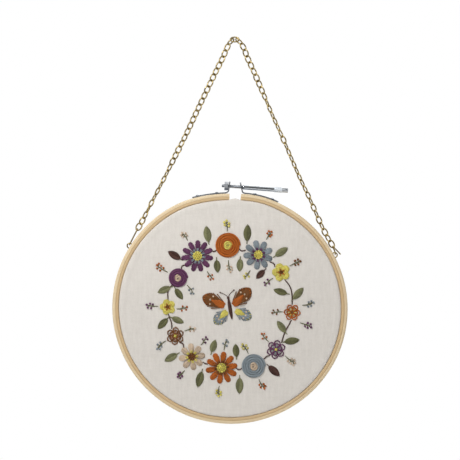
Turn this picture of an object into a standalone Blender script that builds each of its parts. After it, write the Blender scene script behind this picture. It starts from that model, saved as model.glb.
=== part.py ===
"""An embroidered linen round in a wooden hoop, hung from a brass chain.

Metres, +Z up. The front faces -Y and the wall is at +Y. The origin is where a nail bears, under the upper wire
of the link at the top of the chain. Sizes below are in millimetres and are turned into metres as the meshes
are made. Angles are in degrees, counterclockwise from +X as seen from the front.
"""

import math

import bmesh
import bpy
from mathutils import Vector

MM = 0.001
GAP = 0.3

# The hoop: its centre from the nail, its slightly oval shape, the dip where the screw draws it in, its section
HOOP_X = -4.0
HOOP_Z = -229.5
OVAL = 0.9
OVAL_ANGLE = -14.0
DIP = 1.2
DIP_ANGLE = 94.0
DIP_REACH = 24.0
OUTER_RADIUS = 99.0
OUTER_THICKNESS = 5.5
HOOP_DEPTH = 10.0
EDGE_BEVEL = 0.7
SPLIT_ANGLE = 87.35
SPLIT_WIDTH = 9.8
RING_STEPS = 84

# The linen: a taut disc, rolled over the inner hoop, with a skirt between the two hoops
CLOTH = 1.0
CLOTH_CREST = 5.45
CLOTH_SAG = 0.3
CLOTH_LIP = 2.0
SKIRT_BACK = 4.2
INNER_THICKNESS = 3.6
INNER_BACK = 4.5

# The steel strips, their ears and the rivets that hold them
STRIP = 0.9
STRIP_WIDTH = 8.0
FOOT_STEPS = 8
EAR_BEND_STEPS = 3
EAR_BEND_SIZE = 1.6
STRIP_ANGLES = {"bracket_left": (108.9, 92.4), "bracket_right": (65.5, 81.6)}
EAR_BENDS = {"bracket_left": (-5.4, -131.3), "bracket_right": (6.8, -132.2)}
EAR_TOPS = {"bracket_left": (-4.1, -122.1), "bracket_right": (4.8, -122.9)}
RIVET_ANGLES = (106.3, 96.6, 77.6, 68.6)
RIVET_HEAD = 1.4
RIVET_RISE = 0.6
RIVET_SHANK = 0.6
RIVET_DEPTH = 3.0
# Where each ear's hole begins and ends along the screw's axis
EAR_HOLES = {"bracket_left": (5.3, 17.85), "bracket_right": (10.0, 22.0)}

# The tension screw runs from its left end down to the right. Its outline is (distance, radius) along the axis
SCREW_START = (-10.9, -125.7)
SCREW_SLOPE = -4.2
SCREW_OUTLINE = ((0.0, 1.05), (0.3, 1.4), (17.7, 1.4), (17.9, 1.95), (44.6, 1.95), (45.2, 2.3),
                 (51.6, 2.3), (52.2, 2.05), (55.9, 2.05), (56.3, 1.8))
SCREW_SIDES = 16
SLOT_WIDTH = 0.9
SLOT_DEPTH = 2.6
SLOT_TURN = 22.0
NUT_FROM = 2.2
NUT_THICKNESS = 2.9
NUT_FLATS = 6.4

# The eyes are staples in the rim. The wire is the same for the eyes and the two connectors
EYE_ANGLES = {"eye_left": 148.2, "eye_right": 26.8}
EYE_RADIUS = 2.1
EYE_RISE = 0.5
EYE_LEG = 2.4
EYE_WIRE = 0.5
CONNECTOR_WIRE = 0.5
CONNECTOR_HALF_WIDTH = 1.5
EYE_PASS = 1.05
TAIL_END = (89.9, -184.1)
TAIL_SIDE = -1.4
HOOK_ENDS = (0.9, -1.1)
HOOK_ROOM = 0.45

# The chain: oval links whose neighbours are rolled against each other
LINK_WIRE = 0.54
LINK_FLAT = LINK_WIRE / math.sqrt(2)
LINK_WIDTH = 5.9
LINK_FUSE = 0.18
LINK_STEPS = 8
APEX_ROLL = 28.0
APEX_STRETCH = 0.3
APEX_REACH = {"chain_left": 3.9, "chain_right": 4.15}
# Each leg's line, as (x, z), from the middle of the top link through some of the links' centres to the last
LEG_LINES = {
    "chain_left": ((0.0, -1.6), (-3.4, -3.55), (-6.6, -8.9), (-10.2, -17.3), (-16.2, -29.2), (-24.7, -47.0),
                   (-33.2, -64.9), (-41.5, -82.7), (-50.5, -100.5), (-59.3, -118.4), (-68.6, -136.2),
                   (-77.65, -154.0), (-81.3, -160.5)),
    "chain_right": ((0.0, -1.6), (3.8, -3.3), (7.7, -8.9), (10.9, -17.3), (16.4, -29.2), (24.0, -47.0),
                    (31.6, -64.9), (39.65, -82.7), (47.3, -100.5), (55.0, -118.4), (63.4, -136.2), (71.2, -154.0),
                    (76.9, -165.9), (82.2, -175.2)),
}
# How far each link is rolled about its leg, from the top. Neighbours are rolled to opposite sides
LEG_ROLLS = {
    "chain_left": (59, 34, 36, 35, 34, 37, 35, 36, 34, 36, 38, 35, 36, 34, 37, 38, 45, 48, 27, 36, 40, 58, 70, 54,
                   72, 58, 72, 50, 76, 54, 36, 22),
    "chain_right": (60, 34, 34, 30, 36, 40, 28, 34, 42, 50, 74, 56, 70, 60, 68, 62, 42, 68, 62, 64, 62, 66, 62, 64,
                    64, 49, 71, 41, 69, 35, 66, 27, 52, 28),
}
FIRST_SIDE = {"chain_left": 1, "chain_right": -1}

# The embroidery: a wreath of flowers and leaves. (name, angle, distance from the hoop's centre, radius, petals,
# thread). A woven-wheel rose has no petals, and a round edge
PAD_BASE = 0.3
PAD_EDGE = 0.55
PAD_RISE = 1.2
ROSE_RISE = 1.8
PETAL_NOTCH = 0.22
LEAF_FULLNESS = 0.75
FLOWERS = (
    ("daisy_violet", 122.0, 52.0, 14.0, 11, "thread_violet"),
    ("rose_rust", 92.0, 55.0, 11.0, 0, "thread_rust"),
    ("daisy_blue", 62.0, 52.0, 13.0, 9, "thread_blue"),
    ("buttercup_upper", 35.0, 53.0, 7.5, 5, "thread_yellow"),
    ("rose_violet", 150.0, 50.0, 8.5, 0, "thread_violet"),
    ("buttercup_left", 179.0, 52.0, 6.5, 5, "thread_yellow"),
    ("blossom_brown", 207.0, 52.0, 7.5, 6, "thread_brown"),
    ("daisy_cream", 232.0, 53.0, 11.5, 8, "thread_cream"),
    ("daisy_rust", 262.0, 52.0, 14.0, 10, "thread_rust"),
    ("rose_blue", 292.0, 53.5, 10.5, 0, "thread_blue"),
    ("blossom_violet", 318.0, 52.0, 8.0, 6, "thread_violet"),
    ("blossom_rust", 356.0, 52.0, 7.0, 6, "thread_rust"),
)
# Leaves: (angle, distance of its middle, length, width, turn from pointing straight out, thread)
LEAVES = (
    (107.0, 66.5, 14.0, 6.4, -8.0, "thread_sage"),
    (107.0, 38.0, 11.0, 5.6, 168.0, "thread_olive"),
    (77.0, 66.5, 14.5, 6.4, 10.0, "thread_olive"),
    (77.0, 38.5, 11.0, 5.6, 190.0, "thread_sage"),
    (47.5, 65.0, 13.0, 6.0, -14.0, "thread_sage"),
    (48.0, 39.0, 10.0, 5.2, 178.0, "thread_dark"),
    (136.5, 64.5, 12.5, 6.0, 12.0, "thread_dark"),
    (164.5, 57.0, 12.0, 5.6, 38.0, "thread_sage"),
    (164.5, 44.0, 11.0, 5.2, 140.0, "thread_olive"),
    (193.0, 58.0, 12.0, 5.6, 34.0, "thread_olive"),
    (193.0, 45.0, 11.0, 5.2, 144.0, "thread_sage"),
    (220.0, 65.5, 12.5, 6.0, -10.0, "thread_sage"),
    (247.0, 66.5, 14.0, 6.4, 8.0, "thread_olive"),
    (246.5, 36.0, 11.0, 5.6, 186.0, "thread_sage"),
    (277.0, 67.0, 14.0, 6.4, -8.0, "thread_sage"),
    (278.0, 37.0, 11.0, 5.6, 176.0, "thread_olive"),
    (305.0, 65.0, 13.0, 6.0, 12.0, "thread_dark"),
    (332.0, 58.5, 13.0, 5.8, 36.0, "thread_olive"),
    (340.0, 45.5, 12.0, 5.4, 146.0, "thread_sage"),
    (12.0, 58.5, 13.0, 5.8, 36.0, "thread_sage"),
    (18.0, 44.5, 12.0, 5.4, 146.0, "thread_olive"),
)

# The butterfly in the middle: (name, angle, distance of its middle, length, width, turn, fullness, thread)
BUTTERFLY = (
    ("wing_upper_right", 43.0, 14.0, 21.0, 13.5, 0.0, 0.55, "thread_brown"),
    ("wing_upper_left", 157.0, 14.0, 21.0, 13.5, 0.0, 0.55, "thread_brown"),
    ("wing_lower_right", -25.0, 11.5, 15.5, 11.0, 0.0, 0.55, "thread_blue"),
    ("wing_lower_left", 225.0, 11.5, 15.5, 11.0, 0.0, 0.55, "thread_blue"),
    ("butterfly_body", 100.0, 1.0, 18.0, 2.8, 0.0, 0.6, "thread_dark"),
)

# Colour, roughness and metallic value of each material
MATERIALS = {
    "linen": ((0.66, 0.62, 0.55), 0.90, 0.0),
    "beech": ((0.62, 0.42, 0.22), 0.55, 0.0),
    "zinc": ((0.50, 0.52, 0.54), 0.35, 1.0),
    "brass": ((0.47, 0.36, 0.15), 0.38, 1.0),
    "thread_violet": ((0.22, 0.12, 0.27), 0.70, 0.0),
    "thread_rust": ((0.62, 0.20, 0.06), 0.70, 0.0),
    "thread_blue": ((0.27, 0.33, 0.40), 0.70, 0.0),
    "thread_yellow": ((0.73, 0.50, 0.12), 0.70, 0.0),
    "thread_brown": ((0.16, 0.08, 0.05), 0.70, 0.0),
    "thread_cream": ((0.70, 0.60, 0.45), 0.70, 0.0),
    "thread_sage": ((0.33, 0.36, 0.20), 0.70, 0.0),
    "thread_olive": ((0.24, 0.25, 0.10), 0.70, 0.0),
    "thread_dark": ((0.20, 0.13, 0.09), 0.70, 0.0),
}


def clear_scene():
    for item in list(bpy.data.objects):
        bpy.data.objects.remove(item, do_unlink=True)


def make_materials():
    made = {}
    for name, (colour, roughness, metallic) in MATERIALS.items():
        material = bpy.data.materials.new(name)
        material.use_nodes = True
        shader = material.node_tree.nodes["Principled BSDF"]
        shader.inputs["Base Color"].default_value = (*colour, 1.0)
        shader.inputs["Roughness"].default_value = roughness
        shader.inputs["Metallic"].default_value = metallic
        material.diffuse_color = (*colour, 1.0)
        made[name] = material
    return made


def add_object(name, points, faces, material=None):
    """A mesh object from points in millimetres, with its faces turned outwards."""
    mesh = bpy.data.meshes.new(name)
    mesh.from_pydata([Vector(point) * MM for point in points], [], faces)
    shape = bmesh.new()
    shape.from_mesh(mesh)
    bmesh.ops.recalc_face_normals(shape, faces=shape.faces)
    shape.to_mesh(mesh)
    shape.free()
    mesh.shade_smooth()
    mesh.set_sharp_from_angle(angle=math.radians(35))
    item = bpy.data.objects.new(name, mesh)
    bpy.context.scene.collection.objects.link(item)
    if material:
        mesh.materials.append(material)
    return item


def add_tool(name, points, faces):
    """A shape that only cuts or joins another one."""
    tool = add_object(name, points, faces)
    tool.hide_render = True
    tool.display_type = "WIRE"
    return tool


def combine(item, tool, operation):
    boolean = item.modifiers.new(tool.name, "BOOLEAN")
    boolean.operation = operation
    boolean.solver = "EXACT"
    boolean.object = tool


def oval_shift(angle):
    """How far the hoop's shape moves its rim outwards at this angle."""
    shift = OVAL * math.cos(2 * math.radians(angle - OVAL_ANGLE))
    from_dip = ((angle - DIP_ANGLE + 180) % 360 - 180) / DIP_REACH
    if abs(from_dip) < 1:
        shift -= DIP * math.cos(math.pi / 2 * from_dip) ** 2
    return shift


def hoop_point(angle, radius, y=0.0):
    """A point at this distance from the hoop's centre, moved with its oval shape."""
    reach = radius + oval_shift(angle)
    turn = math.radians(angle)
    return Vector((HOOP_X + reach * math.cos(turn), y, HOOP_Z + reach * math.sin(turn)))


def hoop_directions(angle):
    """Outwards, and along the rim counterclockwise."""
    turn = math.radians(angle)
    return Vector((math.cos(turn), 0, math.sin(turn))), Vector((-math.sin(turn), 0, math.cos(turn)))


def quads_between(rows, columns, rows_close, columns_close):
    """Faces of a grid of points, row by row, closed either way where asked."""
    faces = []
    for row in range(rows if rows_close else rows - 1):
        for column in range(columns if columns_close else columns - 1):
            after = (row + 1) % rows
            beside = (column + 1) % columns
            faces.append((row * columns + column, row * columns + beside,
                          after * columns + beside, after * columns + column))
    return faces


def ring_around_hoop(name, section, material):
    """A closed ring round the hoop's centre. The section is a loop of (radius, y)."""
    points = []
    for step in range(RING_STEPS):
        points += [hoop_point(360 * step / RING_STEPS, radius, y) for radius, y in section]
    return add_object(name, points, quads_between(RING_STEPS, len(section), True, True), material)


def bevelled_section(inner, outer, front, back, bevel):
    return ((inner + bevel, front), (outer - bevel, front), (outer, front + bevel), (outer, back - bevel),
            (outer - bevel, back), (inner + bevel, back), (inner, back - bevel), (inner, front + bevel))


def radial_pin(angle, radius_from, radius_to, pin_radius, sides, y=0.0, along=0.0):
    """Points and faces of a straight pin that runs outwards from the hoop's centre."""
    outwards, tangent = hoop_directions(angle)
    points = []
    for reach in (radius_from, radius_to):
        middle = hoop_point(angle, reach, y) + tangent * along
        for side in range(sides):
            turn = 2 * math.pi * side / sides
            points.append(middle + tangent * (pin_radius * math.cos(turn)) + Vector((0, pin_radius * math.sin(turn), 0)))
    faces = quads_between(2, sides, False, True)
    faces += [tuple(range(sides)), tuple(range(sides, 2 * sides))]
    return points, faces


def make_outer_hoop(material):
    half_split = math.degrees(SPLIT_WIDTH / 2 / (OUTER_RADIUS - OUTER_THICKNESS / 2))
    start = SPLIT_ANGLE + half_split
    sweep = 360 - 2 * half_split
    half_depth = HOOP_DEPTH / 2
    section = bevelled_section(OUTER_RADIUS - OUTER_THICKNESS, OUTER_RADIUS, -half_depth, half_depth, EDGE_BEVEL)
    points = []
    for step in range(RING_STEPS + 1):
        points += [hoop_point(start + sweep * step / RING_STEPS, radius, y) for radius, y in section]
    count = len(section)
    faces = quads_between(RING_STEPS + 1, count, False, True)
    faces += [tuple(range(count)), tuple(RING_STEPS * count + index for index in range(count))]
    hoop = add_object("outer_hoop", points, faces, material)
    holes = [(angle, 0.0, RIVET_SHANK, RIVET_DEPTH) for angle in RIVET_ANGLES]
    for angle in EYE_ANGLES.values():
        holes += [(angle, side * EYE_RADIUS, EYE_WIRE, EYE_LEG) for side in (-1, 1)]
    for number, (angle, along, radius, depth) in enumerate(holes, start=1):
        points, faces = radial_pin(angle, OUTER_RADIUS - depth - GAP, OUTER_RADIUS + 1, radius + GAP + 0.03, 8,
                                   along=along)
        combine(hoop, add_tool(f"hoop_hole_{number}", points, faces), "DIFFERENCE")
    return hoop


def make_inner_hoop(material):
    outer = OUTER_RADIUS - OUTER_THICKNESS - GAP - CLOTH - GAP
    front = -(CLOTH_CREST - CLOTH - GAP - 0.05)
    section = bevelled_section(outer - INNER_THICKNESS, outer, front, INNER_BACK, EDGE_BEVEL)
    return ring_around_hoop("inner_hoop", section, material)


def make_linen(material):
    """One drum of cloth: the disc's front, over the crest, down the skirt and back along its inner side."""
    outer = OUTER_RADIUS - OUTER_THICKNESS - GAP
    inner = outer - CLOTH
    disc_edge = inner - GAP - INNER_THICKNESS - CLOTH_LIP
    front = [(disc_edge, -CLOTH_CREST + CLOTH_SAG), (disc_edge + CLOTH_LIP, -CLOTH_CREST),
             (inner - 0.4, -CLOTH_CREST), (outer - 0.3, -CLOTH_CREST + 0.5), (outer, -CLOTH_CREST + 1.4)]
    back = [(inner, SKIRT_BACK), (inner, -CLOTH_CREST + CLOTH + 0.8), (inner - 0.8, -CLOTH_CREST + CLOTH),
            (disc_edge + CLOTH_LIP, -CLOTH_CREST + CLOTH), (disc_edge, -CLOTH_CREST + CLOTH_SAG + CLOTH)]
    section = front + [(outer, SKIRT_BACK)] + back
    rows = len(section)
    points = [hoop_point(360 * step / RING_STEPS, radius, y) for radius, y in section for step in range(RING_STEPS)]
    faces = quads_between(rows, RING_STEPS, False, True)
    front_middle = len(points)
    for y in (section[0][1], section[-1][1]):
        points.append(Vector((HOOP_X, y, HOOP_Z)))
    last_row = (rows - 1) * RING_STEPS
    for step in range(RING_STEPS):
        after = (step + 1) % RING_STEPS
        faces.append((front_middle, after, step))
        faces.append((front_middle + 1, last_row + step, last_row + after))
    return add_object("linen_ground", points, faces, material)


def screw_axis():
    slope = math.radians(SCREW_SLOPE)
    return Vector((SCREW_START[0], 0, SCREW_START[1])), Vector((math.cos(slope), 0, math.sin(slope)))


def turned_on_axis(outline, sides, start, axis):
    """Points and faces of a turned shape: (distance, radius) along an axis that lies in the XZ plane."""
    across = Vector((-axis.z, 0, axis.x))
    points = []
    for distance, radius in outline:
        for side in range(sides):
            turn = 2 * math.pi * (side + 0.5) / sides
            points.append(start + axis * distance + across * (radius * math.cos(turn))
                          + Vector((0, radius * math.sin(turn), 0)))
    faces = quads_between(len(outline), sides, False, True)
    faces += [tuple(range(sides)), tuple(range((len(outline) - 1) * sides, len(outline) * sides))]
    return points, faces


def box_along(start, axis, distance, length, height, depth, turn):
    """Points and faces of a box on an axis in the XZ plane, centred across it and turned about it."""
    turn = math.radians(turn)
    upright = Vector((-axis.z, 0, axis.x))
    across = upright * math.cos(turn) + Vector((0, math.sin(turn), 0))
    into = axis.cross(across)
    points = [start + axis * (distance + length * i) + across * (height * (j - 0.5)) + into * (depth * (k - 0.5))
              for i in (0, 1) for j in (0, 1) for k in (0, 1)]
    faces = [(0, 1, 3, 2), (4, 6, 7, 5), (0, 4, 5, 1), (2, 3, 7, 6), (0, 2, 6, 4), (1, 5, 7, 3)]
    return points, faces


def make_screw(material):
    start, axis = screw_axis()
    screw = add_object("tension_screw", *turned_on_axis(SCREW_OUTLINE, SCREW_SIDES, start, axis), material)
    length, end_radius = SCREW_OUTLINE[-1]
    slot = box_along(start, axis, length - SLOT_DEPTH, SLOT_DEPTH + 1, SLOT_WIDTH, 4 * end_radius, SLOT_TURN)
    combine(screw, add_tool("screw_slot", *slot), "DIFFERENCE")


def make_nut(material):
    start, axis = screw_axis()
    corner = NUT_FLATS / 2 / math.cos(math.pi / 6)
    outline = ((NUT_FROM, corner - 0.4), (NUT_FROM + 0.3, corner), (NUT_FROM + NUT_THICKNESS - 0.3, corner),
               (NUT_FROM + NUT_THICKNESS, corner - 0.4))
    nut = add_object("tension_nut", *turned_on_axis(outline, 6, start, axis), material)
    bore_radius = SCREW_OUTLINE[2][1] + GAP + 0.05
    bore = turned_on_axis(((NUT_FROM - 1, bore_radius), (NUT_FROM + NUT_THICKNESS + 1, bore_radius)), 12, start, axis)
    combine(nut, add_tool("nut_bore", *bore), "DIFFERENCE")


def strip_line(name):
    """The strip's middle line in the XZ plane: along the rim, round the bend and up the ear."""
    far, near = STRIP_ANGLES[name]
    rim = OUTER_RADIUS + GAP + STRIP / 2
    foot = [hoop_point(far + (near - far) * step / FOOT_STEPS, rim) for step in range(FOOT_STEPS + 1)]
    corner = Vector((EAR_BENDS[name][0], 0, EAR_BENDS[name][1]))
    top = Vector((EAR_TOPS[name][0], 0, EAR_TOPS[name][1]))
    bend = []
    up_from = corner + (top - corner).normalized() * EAR_BEND_SIZE
    for step in range(1, EAR_BEND_STEPS + 1):
        part = step / (EAR_BEND_STEPS + 1)
        bend.append(foot[-1] * (1 - part) ** 2 + corner * (2 * part * (1 - part)) + up_from * part ** 2)
    return foot + bend + [up_from, top]


def make_bracket(name, material):
    line = strip_line(name)
    points = []
    for index, point in enumerate(line):
        before = line[max(index - 1, 0)]
        after = line[min(index + 1, len(line) - 1)]
        along = (after - before).normalized()
        across = Vector((-along.z, 0, along.x)) * (STRIP / 2)
        for offset, y in ((1, -1), (1, 1), (-1, 1), (-1, -1)):
            points.append(point + across * offset + Vector((0, y * STRIP_WIDTH / 2, 0)))
    faces = quads_between(len(line), 4, False, True)
    faces += [(0, 1, 2, 3), tuple(4 * (len(line) - 1) + index for index in range(4))]
    bracket = add_object(name, points, faces, material)
    start, axis = screw_axis()
    hole_radius = SCREW_OUTLINE[2][1] + GAP + 0.15
    hole = turned_on_axis([(distance, hole_radius) for distance in EAR_HOLES[name]], 12, start, axis)
    combine(bracket, add_tool(name + "_ear_hole", *hole), "DIFFERENCE")
    low, high = sorted(STRIP_ANGLES[name])
    for number, angle in enumerate(RIVET_ANGLES, start=1):
        if low < angle < high:
            pin = radial_pin(angle, OUTER_RADIUS, OUTER_RADIUS + 3, RIVET_SHANK + GAP + 0.03, 8)
            combine(bracket, add_tool(f"{name}_rivet_hole_{number}", *pin), "DIFFERENCE")


def make_rivet(number, angle, material):
    """A low domed head above the strip, and a shank through the strip into the wood."""
    seat = GAP + STRIP + GAP
    outline = ((-RIVET_DEPTH, RIVET_SHANK), (seat, RIVET_SHANK), (seat, RIVET_HEAD),
               (seat + RIVET_RISE * 0.6, RIVET_HEAD * 0.85), (seat + RIVET_RISE, RIVET_HEAD * 0.4))
    outwards, _ = hoop_directions(angle)
    add_object(f"rivet_{number}", *turned_on_axis(outline, 10, hoop_point(angle, OUTER_RADIUS), outwards), material)


def tube_along(line, radius, sides, closed, upright=None):
    """Points and faces of a round wire along a line of points, with flat caps where the line is open.

    The section turns as little as it can along the line, unless a fixed upright direction is given.
    """
    count = len(line)
    points = []
    carried = None
    for index, point in enumerate(line):
        before = line[(index - 1) % count] if closed else line[max(index - 1, 0)]
        after = line[(index + 1) % count] if closed else line[min(index + 1, count - 1)]
        along = (after - before).normalized()
        if upright is not None:
            first = upright
        elif carried is None:
            first = along.orthogonal().normalized()
        else:
            first = (carried - along * carried.dot(along)).normalized()
        carried = first
        second = along.cross(first).normalized()
        for side in range(sides):
            turn = 2 * math.pi * (side + 0.5) / sides
            points.append(point + first * (radius * math.cos(turn)) + second * (radius * math.sin(turn)))
    faces = quads_between(count, sides, closed, True)
    if not closed:
        faces += [tuple(range(sides)), tuple(range((count - 1) * sides, count * sides))]
    return points, faces


def make_eye(name, material):
    angle = EYE_ANGLES[name]
    outwards, tangent = hoop_directions(angle)
    base = hoop_point(angle, OUTER_RADIUS)
    line = [base - tangent * EYE_RADIUS - outwards * EYE_LEG]
    arch_steps = 8
    for step in range(arch_steps + 1):
        turn = math.pi * step / arch_steps
        line.append(base - tangent * (EYE_RADIUS * math.cos(turn)) + outwards * (EYE_RISE + EYE_RADIUS * math.sin(turn)))
    line.append(base + tangent * EYE_RADIUS - outwards * EYE_LEG)
    add_object(name, *tube_along(line, EYE_WIRE, 6, False, Vector((0, 1, 0))), material)


def oval_line(centre, axis, side, half_length, half_width, steps):
    return [centre + axis * (half_length * math.cos(2 * math.pi * step / steps))
            + side * (half_width * math.sin(2 * math.pi * step / steps)) for step in range(steps)]


def through_eye(name, towards_top):
    """Where a connector's wire passes through the eye, between the rim and the arch."""
    angle = EYE_ANGLES[name]
    outwards, tangent = hoop_directions(angle)
    return hoop_point(angle, OUTER_RADIUS) + tangent * towards_top + outwards * EYE_PASS


def make_left_connector(last_link, material):
    """A long closed ring, edge on to the front, from the eye up to the last link."""
    low = through_eye("eye_left", -0.5)
    high = last_link["low_end"]
    axis = (high - low).normalized()
    high = high + axis * (LINK_WIRE + CONNECTOR_WIRE + GAP + HOOK_ROOM)
    middle = (low + high) / 2
    half_length = (high - low).length / 2
    straight = half_length - CONNECTOR_HALF_WIDTH
    bend_steps = 5
    line = []
    for end in (1, -1):
        for step in range(bend_steps + 1):
            turn = math.pi * (step / bend_steps - 0.5)
            line.append(middle + axis * (end * (straight + CONNECTOR_HALF_WIDTH * math.cos(turn)))
                        + Vector((0, end * CONNECTOR_HALF_WIDTH * math.sin(turn), 0)))
    in_plane = axis.cross(Vector((0, 1, 0)))
    add_object("connector_left", *tube_along(line, CONNECTOR_WIRE, 6, True, in_plane), material)


def smooth_line(knots, steps):
    """Points along a smooth curve through the knots, ending on the first and the last."""
    line = []
    for index in range(len(knots) - 1):
        before = knots[max(index - 1, 0)]
        start, end = knots[index], knots[index + 1]
        after = knots[min(index + 2, len(knots) - 1)]
        for step in range(steps):
            part = step / steps
            line.append(0.5 * (2 * start + (end - before) * part
                               + (2 * before - 5 * start + 4 * end - after) * part ** 2
                               + (3 * start - before - 3 * end + after) * part ** 3))
    return line + [knots[-1]]


def make_right_connector(last_link, material):
    """An opened ring: its free tail, its bend through the last link, and its end hooked through the eye."""
    eye = through_eye("eye_right", 0.4)
    outwards, tangent = hoop_directions(EYE_ANGLES["eye_right"])
    link_end = last_link["low_end"]
    bend = link_end - last_link["axis"] * (LINK_WIRE + CONNECTOR_WIRE + GAP + HOOK_ROOM)
    beside = Vector((0, TAIL_SIDE, 0))
    tail = Vector((TAIL_END[0], TAIL_SIDE, TAIL_END[1]))
    knots = [tail, tail.lerp(bend + beside, 0.5), bend + beside + (tail - bend).normalized() * 1.2, bend,
             bend - beside + (eye - bend).normalized() * 1.4, eye.lerp(bend, 0.3) - beside + outwards * 0.5,
             eye + Vector((0, HOOK_ENDS[0], 0)) - tangent * 0.2, eye,
             eye + Vector((0, HOOK_ENDS[1], 0)) + tangent * 0.1]
    add_object("connector_right", *tube_along(smooth_line(knots, 3), CONNECTOR_WIRE, 6, False), material)


def along_line(line, distance):
    """The point at this distance along a line of points, and the line's direction there."""
    left = distance
    for start, end in zip(line, line[1:]):
        length = (end - start).length
        if left <= length:
            return start + (end - start) * (left / length), (end - start).normalized()
        left -= length
    return line[-1], (line[-1] - line[-2]).normalized()


def leg_links(name):
    """Each link's centre, its direction down the leg, its pitch and its roll."""
    knots = [Vector((x, 0, z)) for x, z in LEG_LINES[name]]
    line = smooth_line(knots, 6)
    length = sum((end - start).length for start, end in zip(line, line[1:]))
    count = len(LEG_ROLLS[name])
    pitch = (length - APEX_REACH[name]) / (count - 1)
    links = []
    for number in range(count):
        centre, axis = along_line(line, min(APEX_REACH[name] + number * pitch, length))
        roll = FIRST_SIDE[name] * (-1) ** number * LEG_ROLLS[name][number]
        links.append({"centre": centre, "axis": axis, "pitch": pitch, "roll": roll})
    reach = half_link(pitch)
    links[-1]["low_end"] = links[-1]["centre"] + links[-1]["axis"] * reach
    return links


def half_link(pitch):
    """From a link's centre to the middle of its end wire, so that neighbours just run into each other."""
    return (pitch - LINK_FUSE) / 2 + LINK_FLAT


def link_shape(link):
    front_side = Vector((-link["axis"].z, 0, link["axis"].x))
    roll = math.radians(link["roll"])
    side = front_side * math.cos(roll) + Vector((0, math.sin(roll), 0))
    normal = link["axis"].cross(side)
    line = oval_line(link["centre"], link["axis"], side, half_link(link["pitch"]), LINK_WIDTH / 2 - LINK_WIRE, LINK_STEPS)
    return tube_along(line, LINK_WIRE, 4, True, normal)


def joined(shapes):
    points = []
    faces = []
    for shape_points, shape_faces in shapes:
        first = len(points)
        points += shape_points
        faces += [tuple(first + index for index in face) for face in shape_faces]
    return points, faces


def make_leg(name, links, material):
    """Every other link in one mesh, joined by a union to the links between them."""
    shapes = [link_shape(link) for link in links]
    leg = add_object(name, *joined(shapes[0::2]), material)
    combine(leg, add_tool(name + "_links_between", *joined(shapes[1::2])), "UNION")


def make_apex(pitch, material):
    roll = math.radians(APEX_ROLL)
    half_width = LINK_WIDTH / 2 - LINK_WIRE
    centre_drop = half_width * math.cos(roll) - LINK_WIRE
    link = {"centre": Vector((0, 0, -centre_drop)), "axis": Vector((1, 0, 0)), "pitch": pitch + 2 * APEX_STRETCH,
            "roll": APEX_ROLL}
    add_object("apex_link", *link_shape(link), material)


def pad_places(angle, distance, turn):
    """The place of a stitched pad on the cloth: its middle, and its directions along and across."""
    heading = math.radians(angle + turn)
    along = Vector((math.cos(heading), 0, math.sin(heading)))
    across = Vector((-along.z, 0, along.x))
    return hoop_point(angle, distance), along, across


def cloth_front():
    return -CLOTH_CREST + CLOTH_SAG


def make_flower(row, material):
    """A round pad with a notched edge. It is highest near its middle, where a daisy has a shallow hollow."""
    name, angle, distance, radius, petals, _ = row
    middle, along, across = pad_places(angle, distance, 0.0)
    steps = petals * 4 if petals else 18
    rise = PAD_RISE if petals else ROSE_RISE
    base = cloth_front() - PAD_BASE
    rings = ((1.0, 0.0), (1.0, PAD_EDGE), (0.5, rise))
    points = []
    for share, height in rings:
        for step in range(steps):
            turn = 2 * math.pi * step / steps
            notch = PETAL_NOTCH * (0.5 - 0.5 * math.cos(petals * turn)) * share if petals else 0.0
            reach = radius * share * (1 - notch)
            points.append(middle + along * (reach * math.cos(turn)) + across * (reach * math.sin(turn))
                          + Vector((0, base - height, 0)))
    faces = quads_between(len(rings), steps, False, True)
    faces += [tuple(range(steps)), tuple(range((len(rings) - 1) * steps, len(rings) * steps))]
    add_object(name, points, faces, material)


def make_leaf(name, row, fullness, material):
    """A pointed pad with a raised rib down its middle. Less fullness makes its ends rounder."""
    angle, distance, length, width, turn = row
    middle, along, across = pad_places(angle, distance, turn)
    base = Vector((0, cloth_front() - PAD_BASE, 0))
    stations = 6
    points = []
    for station in range(1, stations):
        part = station / stations
        spot = middle + along * (length * (part - 0.5)) + base
        half = width / 2 * math.sin(math.pi * part) ** fullness
        for offset, height in ((-half, 0.0), (half, 0.0), (half, PAD_EDGE), (0.0, PAD_RISE), (-half, PAD_EDGE)):
            points.append(spot + across * offset - Vector((0, height, 0)))
    faces = quads_between(stations - 1, 5, False, True)
    for end, row_start in ((-0.5, 0), (0.5, (stations - 2) * 5)):
        tip = len(points)
        points.append(middle + along * (length * end) + base - Vector((0, PAD_EDGE / 2, 0)))
        faces += [(tip, row_start + index, row_start + (index + 1) % 5) for index in range(5)]
    add_object(name, points, faces, material)


def build():
    clear_scene()
    materials = make_materials()
    make_linen(materials["linen"])
    make_inner_hoop(materials["beech"])
    make_outer_hoop(materials["beech"])
    for name in STRIP_ANGLES:
        make_bracket(name, materials["zinc"])
    for number, angle in enumerate(RIVET_ANGLES, start=1):
        make_rivet(number, angle, materials["zinc"])
    make_screw(materials["zinc"])
    make_nut(materials["zinc"])
    for name in EYE_ANGLES:
        make_eye(name, materials["brass"])
    legs = {name: leg_links(name) for name in LEG_LINES}
    for name, links in legs.items():
        make_leg(name, links, materials["brass"])
    make_apex(legs["chain_left"][0]["pitch"], materials["brass"])
    make_left_connector(legs["chain_left"][-1], materials["brass"])
    make_right_connector(legs["chain_right"][-1], materials["brass"])
    for row in FLOWERS:
        make_flower(row, materials[row[-1]])
    for number, row in enumerate(LEAVES, start=1):
        make_leaf(f"leaf_{number:02d}", row[:-1], LEAF_FULLNESS, materials[row[-1]])
    for name, *row, fullness, thread in BUTTERFLY:
        make_leaf(name, row, fullness, materials[thread])


build()
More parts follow.
